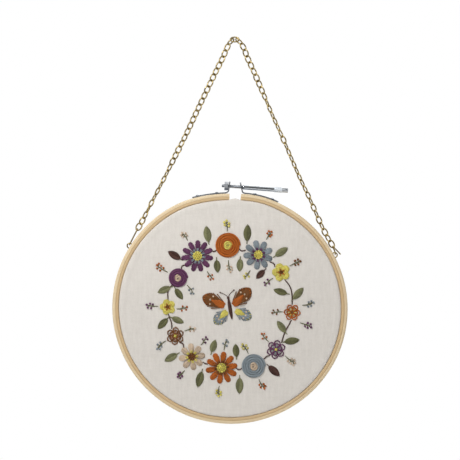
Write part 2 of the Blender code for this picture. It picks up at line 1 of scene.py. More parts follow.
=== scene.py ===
"""Looks of the embroidered hoop: wood, linen, stitches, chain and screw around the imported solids.

Sizes are in millimetres, named as in the part's source, and MM turns them into metres. Angles are in degrees,
counterclockwise from +X as seen from the front, and the front faces -Y. A place on the cloth is (u, v) in
millimetres from the hoop's centre, to the right and up.
"""

import math
import random

import bmesh
import bpy
import numpy as np
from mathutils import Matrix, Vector

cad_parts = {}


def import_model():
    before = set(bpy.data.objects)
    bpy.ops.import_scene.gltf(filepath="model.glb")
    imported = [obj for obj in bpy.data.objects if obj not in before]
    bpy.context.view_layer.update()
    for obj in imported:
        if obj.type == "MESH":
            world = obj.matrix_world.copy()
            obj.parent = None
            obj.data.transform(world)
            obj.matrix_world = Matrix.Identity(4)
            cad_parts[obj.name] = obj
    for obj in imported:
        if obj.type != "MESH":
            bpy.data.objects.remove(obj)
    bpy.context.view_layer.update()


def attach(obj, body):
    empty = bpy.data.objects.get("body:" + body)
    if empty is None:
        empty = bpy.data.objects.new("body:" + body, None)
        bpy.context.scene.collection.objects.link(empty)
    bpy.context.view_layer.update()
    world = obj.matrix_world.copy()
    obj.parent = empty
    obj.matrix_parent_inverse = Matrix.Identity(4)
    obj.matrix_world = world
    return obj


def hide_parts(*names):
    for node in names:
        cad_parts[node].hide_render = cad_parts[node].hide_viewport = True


MM = 0.001

# The hoop and the cloth, as in the part's source
HOOP_X = -4.0
HOOP_Z = -229.5
OVAL = 0.9
OVAL_ANGLE = -14.0
DIP = 1.2
DIP_ANGLE = 94.0
DIP_REACH = 24.0
OUTER_RADIUS = 99.0
OUTER_THICKNESS = 5.5
HALF_DEPTH = 5.0
SPLIT_ANGLE = 87.35
SPLIT_WIDTH = 9.8
INNER_OUTSIDE = 91.9
INNER_THICKNESS = 3.6
INNER_FRONT = -4.1
INNER_BACK = 4.5
CLOTH_CREST = -5.45
CLOTH_FRONT = -5.15
CLOTH_RADIUS = 93.45
CLOTH_BACK = 4.2
CLOTH_THICKNESS = 0.45
SWELL = 1.35

# How finely the rings and the cloth are cut, their rounded corners, and the groove between the two plies
OUTER_STEPS = 360
INNER_STEPS = 300
CLOTH_STEPS = 720
OUTER_CORNER = 1.5
INNER_CORNER = 0.7
GROOVE_DEPTH = 0.10
GROOVE_HALF = 0.28

# The steel strips, the rivets and the screw
STRIP = 1.05
STRIP_GAP = 0.2
STRIP_WIDTH = 8.0
STRIP_ANGLES = {"bracket_left": (108.9, 92.4), "bracket_right": (65.5, 81.6)}
STRIP_BEVEL = 0.18
EAR_BENDS = {"bracket_left": (-5.4, -131.3), "bracket_right": (6.8, -132.2)}
EAR_BEND_SIZE = 1.6
EAR_TOPS = {"bracket_left": (-4.1, -122.1), "bracket_right": (4.8, -122.9)}
RIVET_ANGLES = (106.3, 96.6, 77.6, 68.6)
RIVET_HEAD = 1.4
RIVET_RISE = 0.6
RIVET_SHANK = 0.6
SCREW_START = (-10.9, -125.7)
SCREW_SLOPE = -4.2
ROD_RADIUS = 1.4
ROD_END = 17.7
THREAD_PITCH = 0.6
THREAD_DEPTH = 0.14
BARREL_RADIUS = 1.95
BARREL_END = 44.6
COLLAR_RADIUS = 2.3
COLLAR_END = 51.6
SCREW_LENGTH = 56.3
TIP_RADIUS = 2.05
SLOT_WIDTH = 0.9
SLOT_DEPTH = 2.6
SLOT_TURN = 22.0
NUT_FROM = 2.2
NUT_THICKNESS = 3.25
NUT_FLATS = 6.4
NUT_CHAMFER = 0.25

# The eyes, the connectors and the chain
EYE_ANGLES = {"eye_left": 148.2, "eye_right": 26.8}
EYE_RADIUS = 2.1
EYE_RISE = 0.5
EYE_LEG = 2.4
HOOK_WIRE = 0.55
THROUGH_EYE = 1.05
TAIL_END = (89.9, -184.1)
TAIL_SIDE = -1.4
HOOK_ENDS = (0.9, -1.1)
CONNECTOR_HALF_WIDTH = 1.5
LINK_WIRE = 0.60
LINK_WIDTH = 5.9
LINK_HOLD = 0.95 * LINK_WIRE
HOOK_ROOM = 0.1
APEX_ROLL = 28.0
APEX_STRETCH = 0.3
APEX_SHORTER = 0.1
APEX_DROP = 1.59
APEX_REACH = {"chain_left": 3.9, "chain_right": 4.15}
LEG_LINES = {
    "chain_left": ((0.0, -1.6), (-3.4, -3.55), (-6.6, -8.9), (-10.2, -17.3), (-16.2, -29.2), (-24.7, -47.0),
                   (-33.2, -64.9), (-41.5, -82.7), (-50.5, -100.5), (-59.3, -118.4), (-68.6, -136.2),
                   (-77.65, -154.0), (-81.3, -160.5)),
    "chain_right": ((0.0, -1.6), (3.8, -3.3), (7.7, -8.9), (10.9, -17.3), (16.4, -29.2), (24.0, -47.0),
                    (31.6, -64.9), (39.65, -82.7), (47.3, -100.5), (55.0, -118.4), (63.4, -136.2),
                    (71.2, -154.0), (76.9, -165.9), (82.2, -175.2)),
}
LEG_ROLLS = {
    "chain_left": (59, 34, 36, 35, 34, 37, 35, 36, 34, 36, 38, 35, 36, 34, 37, 38, 45, 48, 27, 36, 40, 58,
                   70, 54, 72, 58, 72, 50, 76, 54, 36, 22),
    "chain_right": (60, 34, 34, 30, 36, 40, 28, 34, 42, 50, 74, 56, 70, 60, 68, 62, 42, 68, 62, 64, 62, 66,
                    62, 64, 64, 49, 71, 41, 69, 35, 66, 27, 52, 28),
}
FIRST_SIDE = {"chain_left": 1, "chain_right": -1}

# The wreath. Flowers: (name, angle, distance, radius, petals, stitch, threads from the petals inwards)
FLOWERS = (
    ("daisy_violet", 122, 52, 14, 11, "daisy", "violet", "blue", "yellow"),
    ("rose_rust", 92, 55, 11, 0, "rose", "rust", "yellow"),
    ("daisy_blue", 62, 52, 13, 9, "daisy", "blue", "violet", "yellow"),
    ("buttercup_upper", 35, 53, 7.5, 5, "buttercup", "yellow", "rust", "brown"),
    ("rose_violet", 150, 50, 8.5, 0, "rose", "violet", "cream"),
    ("buttercup_left", 179, 52, 6.5, 5, "buttercup", "yellow", "rust", "brown"),
    ("blossom_brown", 207, 52, 7.5, 6, "loops", "brown", "rust", "yellow"),
    ("daisy_cream", 232, 53, 11.5, 8, "daisy", "cream", "yellow", "brown"),
    ("daisy_rust", 262, 52, 14, 10, "daisy", "rust", "brown", "yellow"),
    ("rose_blue", 292, 53.5, 10.5, 0, "rose", "blue", "cream"),
    ("blossom_violet", 318, 52, 8, 6, "loops", "violet", "blue", "yellow"),
    ("blossom_rust", 356, 52, 7, 6, "loops", "rust", "yellow", "brown"),
)
# Leaves: (angle, distance of its middle, length, width, turn from pointing straight out, thread)
LEAVES = (
    (107, 66.5, 14, 6.4, -8, "sage"),
    (107, 38, 11, 5.6, 168, "olive"),
    (77, 66.5, 14.5, 6.4, 10, "olive"),
    (77, 38.5, 11, 5.6, 190, "sage"),
    (47.5, 65, 13, 6, -14, "sage"),
    (48, 39, 10, 5.2, 178, "dark"),
    (136.5, 64.5, 12.5, 6, 12, "dark"),
    (164.5, 57, 12, 5.6, 38, "sage"),
    (164.5, 44, 11, 5.2, 140, "olive"),
    (193, 58, 12, 5.6, 34, "olive"),
    (193, 45, 11, 5.2, 144, "sage"),
    (220, 65.5, 12.5, 6, -10, "sage"),
    (247, 66.5, 14, 6.4, 8, "olive"),
    (246.5, 36, 11, 5.6, 186, "sage"),
    (277, 67, 14, 6.4, -8, "sage"),
    (278, 37, 11, 5.6, 176, "olive"),
    (305, 65, 13, 6, 12, "dark"),
    (332, 58.5, 13, 5.8, 36, "olive"),
    (340, 45.5, 12, 5.4, 146, "sage"),
    (12, 58.5, 13, 5.8, 36, "sage"),
    (18, 44.5, 12, 5.4, 146, "olive"),
)
# Butterfly: (name, angle, distance, length, width, thread by the body, thread at the edge)
WINGS = (
    ("wing_upper_right", 43, 14, 21, 13.5, "rust", "brown"),
    ("wing_upper_left", 157, 14, 21, 13.5, "rust", "brown"),
    ("wing_lower_right", -25, 11.5, 15.5, 11, "yellow", "blue"),
    ("wing_lower_left", 225, 11.5, 15.5, 11, "yellow", "blue"),
)
WING_FULLNESS = 0.55
# Its body: (angle, distance, length, width)
BODY = (100, 1, 18, 2.8)
# Sprigs of knots: (angle where it starts, distance there, heading, length, bend, knots, knot size, thread)
SPRIGS = (
    (92, 67, 92, 9, 6, 5, 1.25, "yellow"),
    (62, 66.5, 66, 8, -20, 5, 1.15, "rust"),
    (122, 67.5, 118, 8, 20, 5, 1.15, "cream"),
    (150, 60, 158, 11, -25, 6, 1.15, "rust"),
    (178.5, 60, 186, 10, -30, 5, 1.1, "violet"),
    (207, 61, 212, 10, 25, 5, 1.15, "blue"),
    (234, 66, 232, 8, -20, 5, 1.2, "violet"),
    (262, 67.5, 262, 8.5, 12, 5, 1.25, "yellow"),
    (292, 65.5, 294, 9, 18, 5, 1.15, "rust"),
    (319, 61.5, 314, 10, 25, 6, 1.15, "cream"),
    (348, 60, 348, 10, -22, 5, 1.15, "violet"),
    (2, 60.5, 6, 10, 20, 5, 1.1, "blue"),
    (35, 62, 34, 10, -22, 5, 1.2, "brown"),
    (92, 42.5, 272, 10, 18, 5, 1.1, "cream"),
    (62, 37, 244, 8, -20, 4, 1.05, "yellow"),
    (122, 36.5, 300, 8, 20, 4, 1.05, "rust"),
    (152, 40.5, 318, 9, -25, 4, 1.05, "blue"),
    (181, 44.5, 0, 9, 25, 4, 1.05, "rust"),
    (207, 43, 24, 9, -20, 4, 1.05, "cream"),
    (232, 40.5, 50, 8, 20, 4, 1.05, "violet"),
    (262, 37, 84, 9, -16, 4, 1.05, "blue"),
    (292, 42, 114, 9.5, 20, 5, 1.1, "yellow"),
    (319, 43, 140, 9, -20, 4, 1.05, "rust"),
    (356, 44, 178, 9, 20, 4, 1.05, "brown"),
    (35, 44.5, 214, 9, 20, 4, 1.05, "violet"),
)
STEM_RADIUS = 52.0
STEM_WAVE = 2.2

# Thread: half width and half height of a strand, and how far it runs behind the cloth before it is cut
STRAND_HALF = 0.33
STRAND_LOW = 0.26
ROSE_HALF = 0.58
ROSE_LOW = 0.46
ROSE_PITCH = 0.98
LONGEST_TRAVEL = 15.0
# A stitch's side as (share of its length, share of its rise, or a height where negative)
STITCH_SHAPE = ((0.0, -0.30), (0.04, 0.02), (0.16, 0.55), (0.34, 0.90), (0.5, 1.0), (0.66, 0.90), (0.84, 0.55),
                (0.96, 0.02), (1.0, -0.30))
TRAVEL_SHAPE = ((0.0, -0.10), (0.12, 0.16), (0.5, 0.34), (0.88, 0.16), (1.0, -0.10))

# Small puckers by the rim: (angle, width, depth, reach inwards)
PUCKERS = (
    (282, 2.6, 0.42, 9), (286.5, 2.2, 0.36, 7), (276, 2.8, 0.28, 8), (265, 2.4, 0.20, 6), (250, 3, 0.22, 6),
    (302, 2.6, 0.26, 6), (322, 2.4, 0.30, 7), (331, 2, 0.24, 5), (345, 2.8, 0.24, 6), (8, 2.6, 0.20, 5),
    (30, 2.4, 0.22, 6), (62, 3, 0.22, 6), (104, 3.2, 0.22, 6), (131, 2.6, 0.22, 5), (160, 3, 0.24, 6),
    (186, 2.4, 0.20, 5), (214, 2.8, 0.26, 7), (231, 2.4, 0.24, 6),
)

# The camera faces the hoop from far away, as with a long lens
CAMERA_X = -4.0
CAMERA_Z = -163.35
FIELD_WIDTH = 390.6
CAMERA_DISTANCE = 3000.0
SENSOR = 36.0

# How bright the studio is: behind the hoop and, in front of it, by the height of the direction (-1 to 1)
BACK_LEVEL = 0.85
BACK_LOW = 0.15
FRONT_LEVELS = ((-1.0, 0.08), (-0.86, 0.08), (-0.72, 0.80), (-0.36, 0.80), (-0.22, 0.10), (0.45, 0.10),
                (0.80, 0.14), (0.95, 0.85))
# Lights: (name, place from the hoop's centre in metres, size in metres, power in watts)
LIGHTS = (
    ("key", (-0.28, -0.50, 0.50), 0.32, 4.2),
    ("fill", (0.80, -0.75, 0.10), 0.7, 1.3),
    ("back", (0.30, 1.10, 0.60), 0.9, 7.0),
)
FLOOR_LEVEL = -460.0
FLOOR_REACH = 600.0

# Colours of the cloth, the wood and the thread
LINEN_PALE = (0.775, 0.733, 0.680)
LINEN_DEEP = (0.695, 0.653, 0.600)
# Painted shade for the gaps between the linen's threads
LINEN_GAP_SHADE = (0.50, 0.46, 0.40)
LINEN_PITCH = 0.55
OUTER_PLY = (0.820, 0.675, 0.445)
INNER_PLY = (0.650, 0.470, 0.255)
WOOD_DEEP = (0.610, 0.440, 0.250)
WOOD_PORE = (0.460, 0.300, 0.150)
WOOD_WARM = (0.660, 0.450, 0.260)
# The glue line's colour, also used as painted shade along the outer ring's inner edge
GLUE_AND_EDGE_SHADE = (0.420, 0.270, 0.130)
PLY_LINE = 0.47 * OUTER_THICKNESS
FLOOR_COLOURS = ((0.80, 0.80, 0.79), (0.86, 0.86, 0.85))
THREADS = {
    "violet": (0.135, 0.038, 0.105),
    "rust": (0.450, 0.108, 0.007),
    "blue": (0.250, 0.292, 0.318),
    "yellow": (0.800, 0.620, 0.130),
    "brown": (0.180, 0.064, 0.011),
    "cream": (0.650, 0.500, 0.360),
    "sage": (0.208, 0.208, 0.098),
    "olive": (0.138, 0.137, 0.055),
    "dark": (0.078, 0.031, 0.021),
}
# Metals: name, then (bright colour, dull colour, roughness, how much is dull, patches to a metre)
METALS = {
    "steel": ((0.33, 0.35, 0.38), (0.18, 0.19, 0.21), 0.34, 0.7, 900.0),
    "zinc_satin": ((0.62, 0.64, 0.67), (0.36, 0.38, 0.40), 0.42, 0.7, 900.0),
    "zinc": ((0.62, 0.65, 0.68), (0.42, 0.44, 0.46), 0.15, 0.5, 500.0),
    "zinc_bright": ((0.80, 0.84, 0.88), (0.60, 0.64, 0.68), 0.55, 0.6, 900.0),
    "brass": ((0.475, 0.370, 0.165), (0.17, 0.115, 0.040), 0.36, 0.85, 420.0),
}
# Every material made, by its name
MATERIALS = {}

random.seed(7)


# Placing things round the hoop

def shares(steps):
    """Evenly spaced numbers from 0 to 1, both among them."""
    return [step / steps for step in range(steps + 1)]


def angle_between(angle, middle):
    return (angle - middle + 180) % 360 - 180


def oval_shift(angle):
    """How far the hoop's shape moves its rim outwards, with the dip where the screw draws it in."""
    shift = OVAL * math.cos(2 * math.radians(angle - OVAL_ANGLE))
    from_dip = angle_between(angle, DIP_ANGLE) / DIP_REACH
    if abs(from_dip) < 1:
        shift -= DIP * math.cos(math.pi / 2 * from_dip) ** 2
    return shift


def hoop_point(angle, radius, y=0.0):
    reach = radius + oval_shift(angle)
    turn = math.radians(angle)
    return Vector((HOOP_X + reach * math.cos(turn), y, HOOP_Z + reach * math.sin(turn)))


def hoop_directions(angle):
    """Outwards, and along the rim."""
    turn = math.radians(angle)
    return Vector((math.cos(turn), 0, math.sin(turn))), Vector((-math.sin(turn), 0, math.cos(turn)))


def on_cloth(angle, distance):
    """(u, v) of a place given by its angle and distance, moved with the oval shape as the solids are."""
    point = hoop_point(angle, distance)
    return np.array((point.x - HOOP_X, point.z - HOOP_Z))


def heading(angle):
    turn = math.radians(angle)
    return np.array((math.cos(turn), math.sin(turn)))


def ruler(middle, angle):
    """A function that gives the place so far from the middle along a heading, and so far to its left."""
    out = heading(angle)
    aside = np.array((-out[1], out[0]))
    return lambda along, left=0.0: middle + out * along + aside * left


def smooth_line(knots, steps):
    """Points along a smooth curve through the knots, ending on the first and the last."""
    line = []
    for index in range(len(knots) - 1):
        before = knots[max(index - 1, 0)]
        start, end = knots[index], knots[index + 1]
        after = knots[min(index + 2, len(knots) - 1)]
        for part in shares(steps)[:-1]:
            line.append(0.5 * (2 * start + (end - before) * part
                               + (2 * before - 5 * start + 4 * end - after) * part ** 2
                               + (3 * start - before - 3 * end + after) * part ** 3))
    return line + [knots[-1]]


# Meshes

def new_object(name, points, faces):
    """An object from points in millimetres, with its faces turned outwards."""
    mesh = bpy.data.meshes.new(name)
    mesh.from_pydata([tuple(c * MM for c in point) for point in points], [], faces)
    shape = bmesh.new()
    shape.from_mesh(mesh)
    bmesh.ops.recalc_face_normals(shape, faces=shape.faces)
    shape.to_mesh(mesh)
    shape.free()
    thing = bpy.data.objects.new(name, mesh)
    bpy.context.scene.collection.objects.link(thing)
    return thing


def shade(piece, smooth_angle):
    """Smooth shading, with edges sharper than the angle left crisp."""
    piece.data.shade_smooth()
    if smooth_angle:
        piece.data.set_sharp_from_angle(angle=math.radians(smooth_angle))


def add_piece(name, shape, material, nodes=(), smooth_angle=40.0):
    """A shown piece from its points and faces, in the place of the named nodes."""
    piece = new_object(name, *shape)
    shade(piece, smooth_angle)
    piece.data.materials.append(MATERIALS[material])
    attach(piece, "root")
    if nodes:
        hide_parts(*nodes)
    return piece


def apply_modifiers(piece):
    graph = bpy.context.evaluated_depsgraph_get()
    graph.update()
    mesh = bpy.data.meshes.new_from_object(piece.evaluated_get(graph))
    piece.modifiers.clear()
    piece.data = mesh


def quads_between(rows, columns, rows_close=False):
    """Faces between rows of points, each row a closed loop."""
    faces = []
    for row in range(rows if rows_close else rows - 1):
        after = (row + 1) % rows
        for column in range(columns):
            beside = (column + 1) % columns
            faces.append((row * columns + column, row * columns + beside,
                          after * columns + beside, after * columns + column))
    return faces


def capped(rows, columns):
    """Faces of a tube of rows of points, closed at both ends."""
    ends = [tuple(range(columns)), tuple(range((rows - 1) * columns, rows * columns))]
    return quads_between(rows, columns) + ends


def joined(shapes):
    points = []
    faces = []
    for shape_points, shape_faces in shapes:
        first = len(points)
        points += list(shape_points)
        faces += [tuple(first + index for index in face) for face in shape_faces]
    return points, faces


def tube_along(line, radius, sides, closed, upright=None):
    """Points and faces of a round wire along a line of points, with eased or joined ends."""
    count = len(line)
    points = []
    carried = None
    for index, point in enumerate(line):
        before = line[(index - 1) % count] if closed else line[max(index - 1, 0)]
        after = line[(index + 1) % count] if closed else line[min(index + 1, count - 1)]
        along = (after - before).normalized()
        if upright is not None:
            carried = upright
        elif carried is None:
            carried = along.orthogonal().normalized()
        else:
            carried = (carried - along * carried.dot(along)).normalized()
        second = along.cross(carried).normalized()
        width = radius if closed or 0 < index < count - 1 else radius * 0.72
        for side in range(sides):
            turn = 2 * math.pi * side / sides
            points.append(point + carried * (width * math.cos(turn)) + second * (width * math.sin(turn)))
    return points, quads_between(count, sides, True) if closed else capped(count, sides)


def round_axis(start, axis, distance, radius, turn):
    """A point beside an axis that lies in the XZ plane."""
    across = Vector((-axis.z, 0, axis.x))
    return (start + axis * distance + across * (radius * math.cos(turn))
            + Vector((0, radius * math.sin(turn), 0)))


def turned_on_axis(outline, sides, start, axis):
    """Points and faces of a turned shape, from its outline as (distance, radius)."""
    points = []
    for distance, radius in outline:
        for side in range(sides):
            points.append(round_axis(start, axis, distance, radius, 2 * math.pi * (side + 0.5) / sides))
    return points, capped(len(outline), sides)


# Materials

def new_material(name, **constants):
    """A material, its node tree and its shader, with the shader's constant inputs set."""
    material = bpy.data.materials.new(name)
    material.use_nodes = True
    tree = material.node_tree
    shader = tree.nodes["Principled BSDF"]
    for key, value in constants.items():
        shader.inputs[key.replace("_", " ")].default_value = value
    MATERIALS[name] = material
    return material, tree, shader


def fill_inputs(tree, node, inputs):
    """Links each input to a socket, or sets it to a value. A colour's value gets its alpha."""
    for key, value in inputs.items():
        if isinstance(value, bpy.types.NodeSocket):
            tree.links.new(value, node.inputs[key])
        elif node.inputs[key].type == "RGBA":
            node.inputs[key].default_value = (*value, 1.0)
        else:
            node.inputs[key].default_value = value


def add_node(tree, kind, inputs=(), **settings):
    node = tree.nodes.new(kind)
    for key, value in settings.items():
        setattr(node, key, value)
    fill_inputs(tree, node, dict(inputs))
    return node


def maths(tree, operation, first, second=0.0):
    return add_node(tree, "ShaderNodeMath", {0: first, 1: second}, operation=operation).outputs[0]


def mixed(tree, factor, first, second):
    return add_node(tree, "ShaderNodeMix", {0: factor, 6: first, 7: second}, data_type="RGBA").outputs[2]


def ranged(tree, value, low, high, to_low, to_high):
    return add_node(tree, "ShaderNodeMapRange", {
        "Value": value, "From Min": low, "From Max": high, "To Min": to_low, "To Max": to_high}).outputs[0]


def tinted(tree, base, colour, value, low, high, from_share, to_share):
    """The base under a colour, whose share changes as a value goes from low to high."""
    return mixed(tree, ranged(tree, value, low, high, from_share, to_share), base, colour)


def noise(tree, vector, scale, detail=3.0, roughness=0.55):
    return add_node(tree, "ShaderNodeTexNoise", {
        "Vector": vector, "Scale": scale, "Detail": detail, "Roughness": roughness}).outputs[0]


def scaled_vector(tree, vector, scale):
    return add_node(tree, "ShaderNodeVectorMath", {0: vector, 1: scale}, operation="MULTIPLY").outputs[0]


def object_place(tree):
    return add_node(tree, "ShaderNodeTexCoord").outputs["Object"]


def separated(tree, vector):
    return add_node(tree, "ShaderNodeSeparateXYZ", {0: vector}).outputs


def attribute(tree, name, output):
    return add_node(tree, "ShaderNodeAttribute", attribute_name=name).outputs[output]


def finish_shader(tree, shader, base, height, strength, distance):
    bump = add_node(tree, "ShaderNodeBump", {"Strength": strength, "Distance": distance, "Height": height})
    fill_inputs(tree, shader, {"Base Color": base, "Normal": bump.outputs[0]})


def make_linen_material():
    """Plain weave with faint slubs that run mostly upright."""
    _, tree, shader = new_material("linen", Roughness=0.92, Specular_IOR_Level=0.2, Sheen_Weight=0.08,
                                   Sheen_Roughness=0.5)
    place = object_place(tree)
    axes = separated(tree, place)
    wobble = maths(tree, "MULTIPLY", maths(tree, "SUBTRACT", noise(tree, place, 220.0, 2.0), 0.5), 0.0004)
    pitch = math.pi / (LINEN_PITCH * MM)
    warp, weft = (maths(tree, "SINE", maths(tree, "MULTIPLY", maths(tree, "ADD", axes[axis], wobble), pitch))
                  for axis in (0, 2))
    over = maths(tree, "GREATER_THAN", maths(tree, "MULTIPLY", warp, weft), 0.0)
    under = maths(tree, "SUBTRACT", 1.0, over)
    weave = maths(tree, "ADD", maths(tree, "MULTIPLY", maths(tree, "ABSOLUTE", warp), over),
                  maths(tree, "MULTIPLY", maths(tree, "ABSOLUTE", weft), under))
    upright = noise(tree, scaled_vector(tree, place, (520.0, 520.0, 95.0)), 1.0)
    level = noise(tree, scaled_vector(tree, place, (105.0, 520.0, 520.0)), 1.0)
    grain = noise(tree, place, 1100.0, 2.0)
    slubs = maths(tree, "ADD", maths(tree, "MULTIPLY", upright, 0.45), maths(tree, "MULTIPLY", level, 0.25))
    slubs = maths(tree, "ADD", slubs, maths(tree, "MULTIPLY", grain, 0.30))
    base = tinted(tree, LINEN_DEEP, LINEN_PALE, slubs, 0.36, 0.64, 0.0, 1.0)
    # Painted shade: darker in the gaps between the woven threads
    base = tinted(tree, base, LINEN_GAP_SHADE, weave, 0.0, 0.7, 0.16, 0.0)
    base = tinted(tree, base, LINEN_DEEP, noise(tree, place, 26.0, 2.0), 0.35, 0.7, 0.0, 0.06)
    finish_shader(tree, shader, base, maths(tree, "ADD", weave, slubs), 0.35, 0.1 * MM)


def make_wood_material(name, plies):
    """Bent wood. The "ring" attribute is (along, outwards, across) in mm, so that the grain runs round."""
    _, tree, shader = new_material(name, Specular_IOR_Level=0.35)
    place = attribute(tree, "ring", "Vector")
    outwards = separated(tree, place)[1]
    grain = noise(tree, scaled_vector(tree, place, (0.035, 1.6, 1.6)), 1.0, 4.0, 0.6)
    fibres = noise(tree, scaled_vector(tree, place, (0.14, 5.5, 5.5)), 1.0, 3.0, 0.6)
    patches = noise(tree, scaled_vector(tree, place, (0.03, 0.12, 0.12)), 1.0, 2.0)
    ply = ranged(tree, outwards, PLY_LINE, OUTER_THICKNESS * 0.53, 0.0, 1.0) if plies else 0.0
    base = mixed(tree, ply, INNER_PLY, OUTER_PLY)
    base = tinted(tree, base, WOOD_DEEP, grain, 0.36, 0.66, 0.0, 0.50)
    base = tinted(tree, base, WOOD_PORE, fibres, 0.54, 0.76, 0.0, 0.34)
    base = tinted(tree, base, WOOD_WARM, patches, 0.45, 0.70, 0.0, 0.20)
    if plies:
        # The dark glue line between the two plies
        from_glue = maths(tree, "ABSOLUTE", maths(tree, "SUBTRACT", outwards, PLY_LINE))
        base = tinted(tree, base, GLUE_AND_EDGE_SHADE, from_glue, 0.12, 0.60, 0.55, 0.0)
        # Painted shade: the wood darkens towards its inner edge, where it meets the cloth
        base = tinted(tree, base, GLUE_AND_EDGE_SHADE, outwards, 0.0, 0.9, 0.20, 0.0)
    fill_inputs(tree, shader, {"Roughness": ranged(tree, fibres, 0.3, 0.7, 0.48, 0.62)})
    height = maths(tree, "ADD", fibres, maths(tree, "MULTIPLY", grain, 0.5))
    finish_shader(tree, shader, base, height, 0.30, 0.12 * MM)


def make_metal_material(name, bright, dull, roughness, patina, scale):
    """Worn metal: dull in soft patches, with fine marks in its gloss."""
    _, tree, shader = new_material(name, Metallic=1.0)
    place = object_place(tree)
    patches = noise(tree, place, scale, 3.0, 0.5)
    marks = noise(tree, place, scale * 5, 2.0)
    base = tinted(tree, bright, dull, patches, 0.38, 0.68, 0.0, patina)
    base = tinted(tree, base, dull, marks, 0.55, 0.80, 0.0, 0.4 * patina)
    fill_inputs(tree, shader, {"Roughness": ranged(tree, marks, 0.3, 0.7, roughness * 0.85, roughness * 1.2)})
    finish_shader(tree, shader, base, marks, 0.06, 0.04 * MM)


def make_thread_material(name, colour):
    """Stranded cotton with painted shade between its plies. "strand" is (along in mm, cosine, sine round it);
    "tint" differs by stitch, and carries painted light in roses and leaves.
    """
    _, tree, shader = new_material(name, Roughness=0.58, Specular_IOR_Level=0.22, Sheen_Weight=0.07,
                                   Sheen_Roughness=0.35)
    along, cosine, sine = separated(tree, attribute(tree, "strand", "Vector"))
    turns_per_mm = 1 / 0.9
    twist = maths(tree, "ADD", maths(tree, "MULTIPLY", maths(tree, "ARCTAN2", sine, cosine), 3.0),
                  maths(tree, "MULTIPLY", along, 2 * math.pi * turns_per_mm))
    plies = maths(tree, "SINE", twist)
    fuzz = noise(tree, object_place(tree), 1500.0, 2.0)
    furrow_shade, deep = (tuple(c * share for c in colour) for share in (0.30, 0.42))
    pale = tuple(min(c * 1.44 + 0.012, 1.0) for c in colour)
    base = mixed(tree, attribute(tree, "tint", "Fac"), deep, pale)
    # Painted shade in the grooves between the twisted plies
    base = tinted(tree, base, furrow_shade, plies, -1.0, 0.3, 0.42, 0.0)
    base = tinted(tree, base, pale, fuzz, 0.45, 0.75, 0.0, 0.16)
    finish_shader(tree, shader, base, plies, 0.5, 0.06 * MM)


def make_materials():
    make_linen_material()
    make_wood_material("wood_outer", True)
    make_wood_material("wood_inner", False)
    for name, colour in THREADS.items():
        make_thread_material("thread_" + name, colour)
    for name, row in METALS.items():
        make_metal_material(name, *row)


# Wood

def mark_ring(piece, rows, section, arc_step):
    """Stores (along, outwards, across) at each corner, so that a closed ring's last face isn't stretched."""
    mesh = piece.data
    columns = len(section)
    values = np.zeros((len(mesh.loops), 3), np.float32)
    for polygon in mesh.polygons:
        indices = [mesh.loops[loop].vertex_index for loop in polygon.loop_indices]
        rows_here = [index // columns for index in indices]
        wraps = max(rows_here) - min(rows_here) > rows // 2
        for loop, index, row in zip(polygon.loop_indices, indices, rows_here):
            along = (row + rows if wraps and row < rows // 2 else row) * arc_step
            values[loop] = (along, *section[index % columns])
    stored = mesh.attributes.new("ring", "FLOAT_VECTOR", "CORNER")
    stored.data.foreach_set("vector", values.ravel())


def rounded_section(thickness, front, back, corner, groove_depth=0.0):
    """A ring's section as (outwards, across), with round corners and, where asked, a groove for the plies."""
    loop = []
    corners = ((corner, front + corner, 1), (thickness - corner, front + corner, 0),
               (thickness - corner, back - corner, -1), (corner, back - corner, 0))
    for number, (out, across, inwards) in enumerate(corners):
        for part in shares(4):
            turn = math.pi / 2 * (number + part + 2)
            loop.append((out + corner * math.cos(turn), across + corner * math.sin(turn)))
        if groove_depth and inwards:
            for share in (-1.0, -0.5, 0.0, 0.5, 1.0):
                depth = groove_depth * math.cos(math.pi / 2 * share) ** 2
                loop.append((thickness / 2 + inwards * share * GROOVE_HALF,
                             across + inwards * (depth - corner)))
    return loop


def make_outer_hoop():
    middle = OUTER_THICKNESS / 2
    section = rounded_section(OUTER_THICKNESS, -HALF_DEPTH, HALF_DEPTH, OUTER_CORNER, GROOVE_DEPTH)
    half_split = math.degrees(SPLIT_WIDTH / 2 / (OUTER_RADIUS - middle))
    sweep = 360 - 2 * half_split
    points = []
    for part in shares(OUTER_STEPS):
        angle = SPLIT_ANGLE + half_split + sweep * part
        wave = 0.05 * math.sin(9 * part * math.pi) + 0.04 * math.sin(23 * part * math.pi + 1.0)
        # The cut ends are rounded over a little
        rounding = 0.25 * max(0.0, 1 - min(part, 1 - part) * OUTER_STEPS) ** 2
        for outwards, across in section:
            eased = middle + (outwards - middle) * (1 - rounding * 0.25)
            points.append(hoop_point(angle, OUTER_RADIUS - OUTER_THICKNESS + eased + wave,
                                     across * (1 - rounding * 0.12)))
    faces = capped(OUTER_STEPS + 1, len(section))
    piece = add_piece("wood_outer_ring", (points, faces), "wood_outer", ["outer_hoop"])
    # The split ring has no last face to wrap, so it counts more rows than it has
    mark_ring(piece, 3 * OUTER_STEPS, section, math.radians(sweep) * OUTER_RADIUS / OUTER_STEPS)


def make_inner_hoop():
    section = rounded_section(INNER_THICKNESS, INNER_FRONT, INNER_BACK, INNER_CORNER)
    points = []
    for part in shares(INNER_STEPS)[:-1]:
        points += [hoop_point(360 * part, INNER_OUTSIDE - INNER_THICKNESS + outwards, across)
                   for outwards, across in section]
    faces = quads_between(INNER_STEPS, len(section), True)
    piece = add_piece("wood_inner_ring", (points, faces), "wood_inner", ["inner_hoop"])
    mark_ring(piece, INNER_STEPS, section, 2 * math.pi * INNER_OUTSIDE / INNER_STEPS)


# Linen

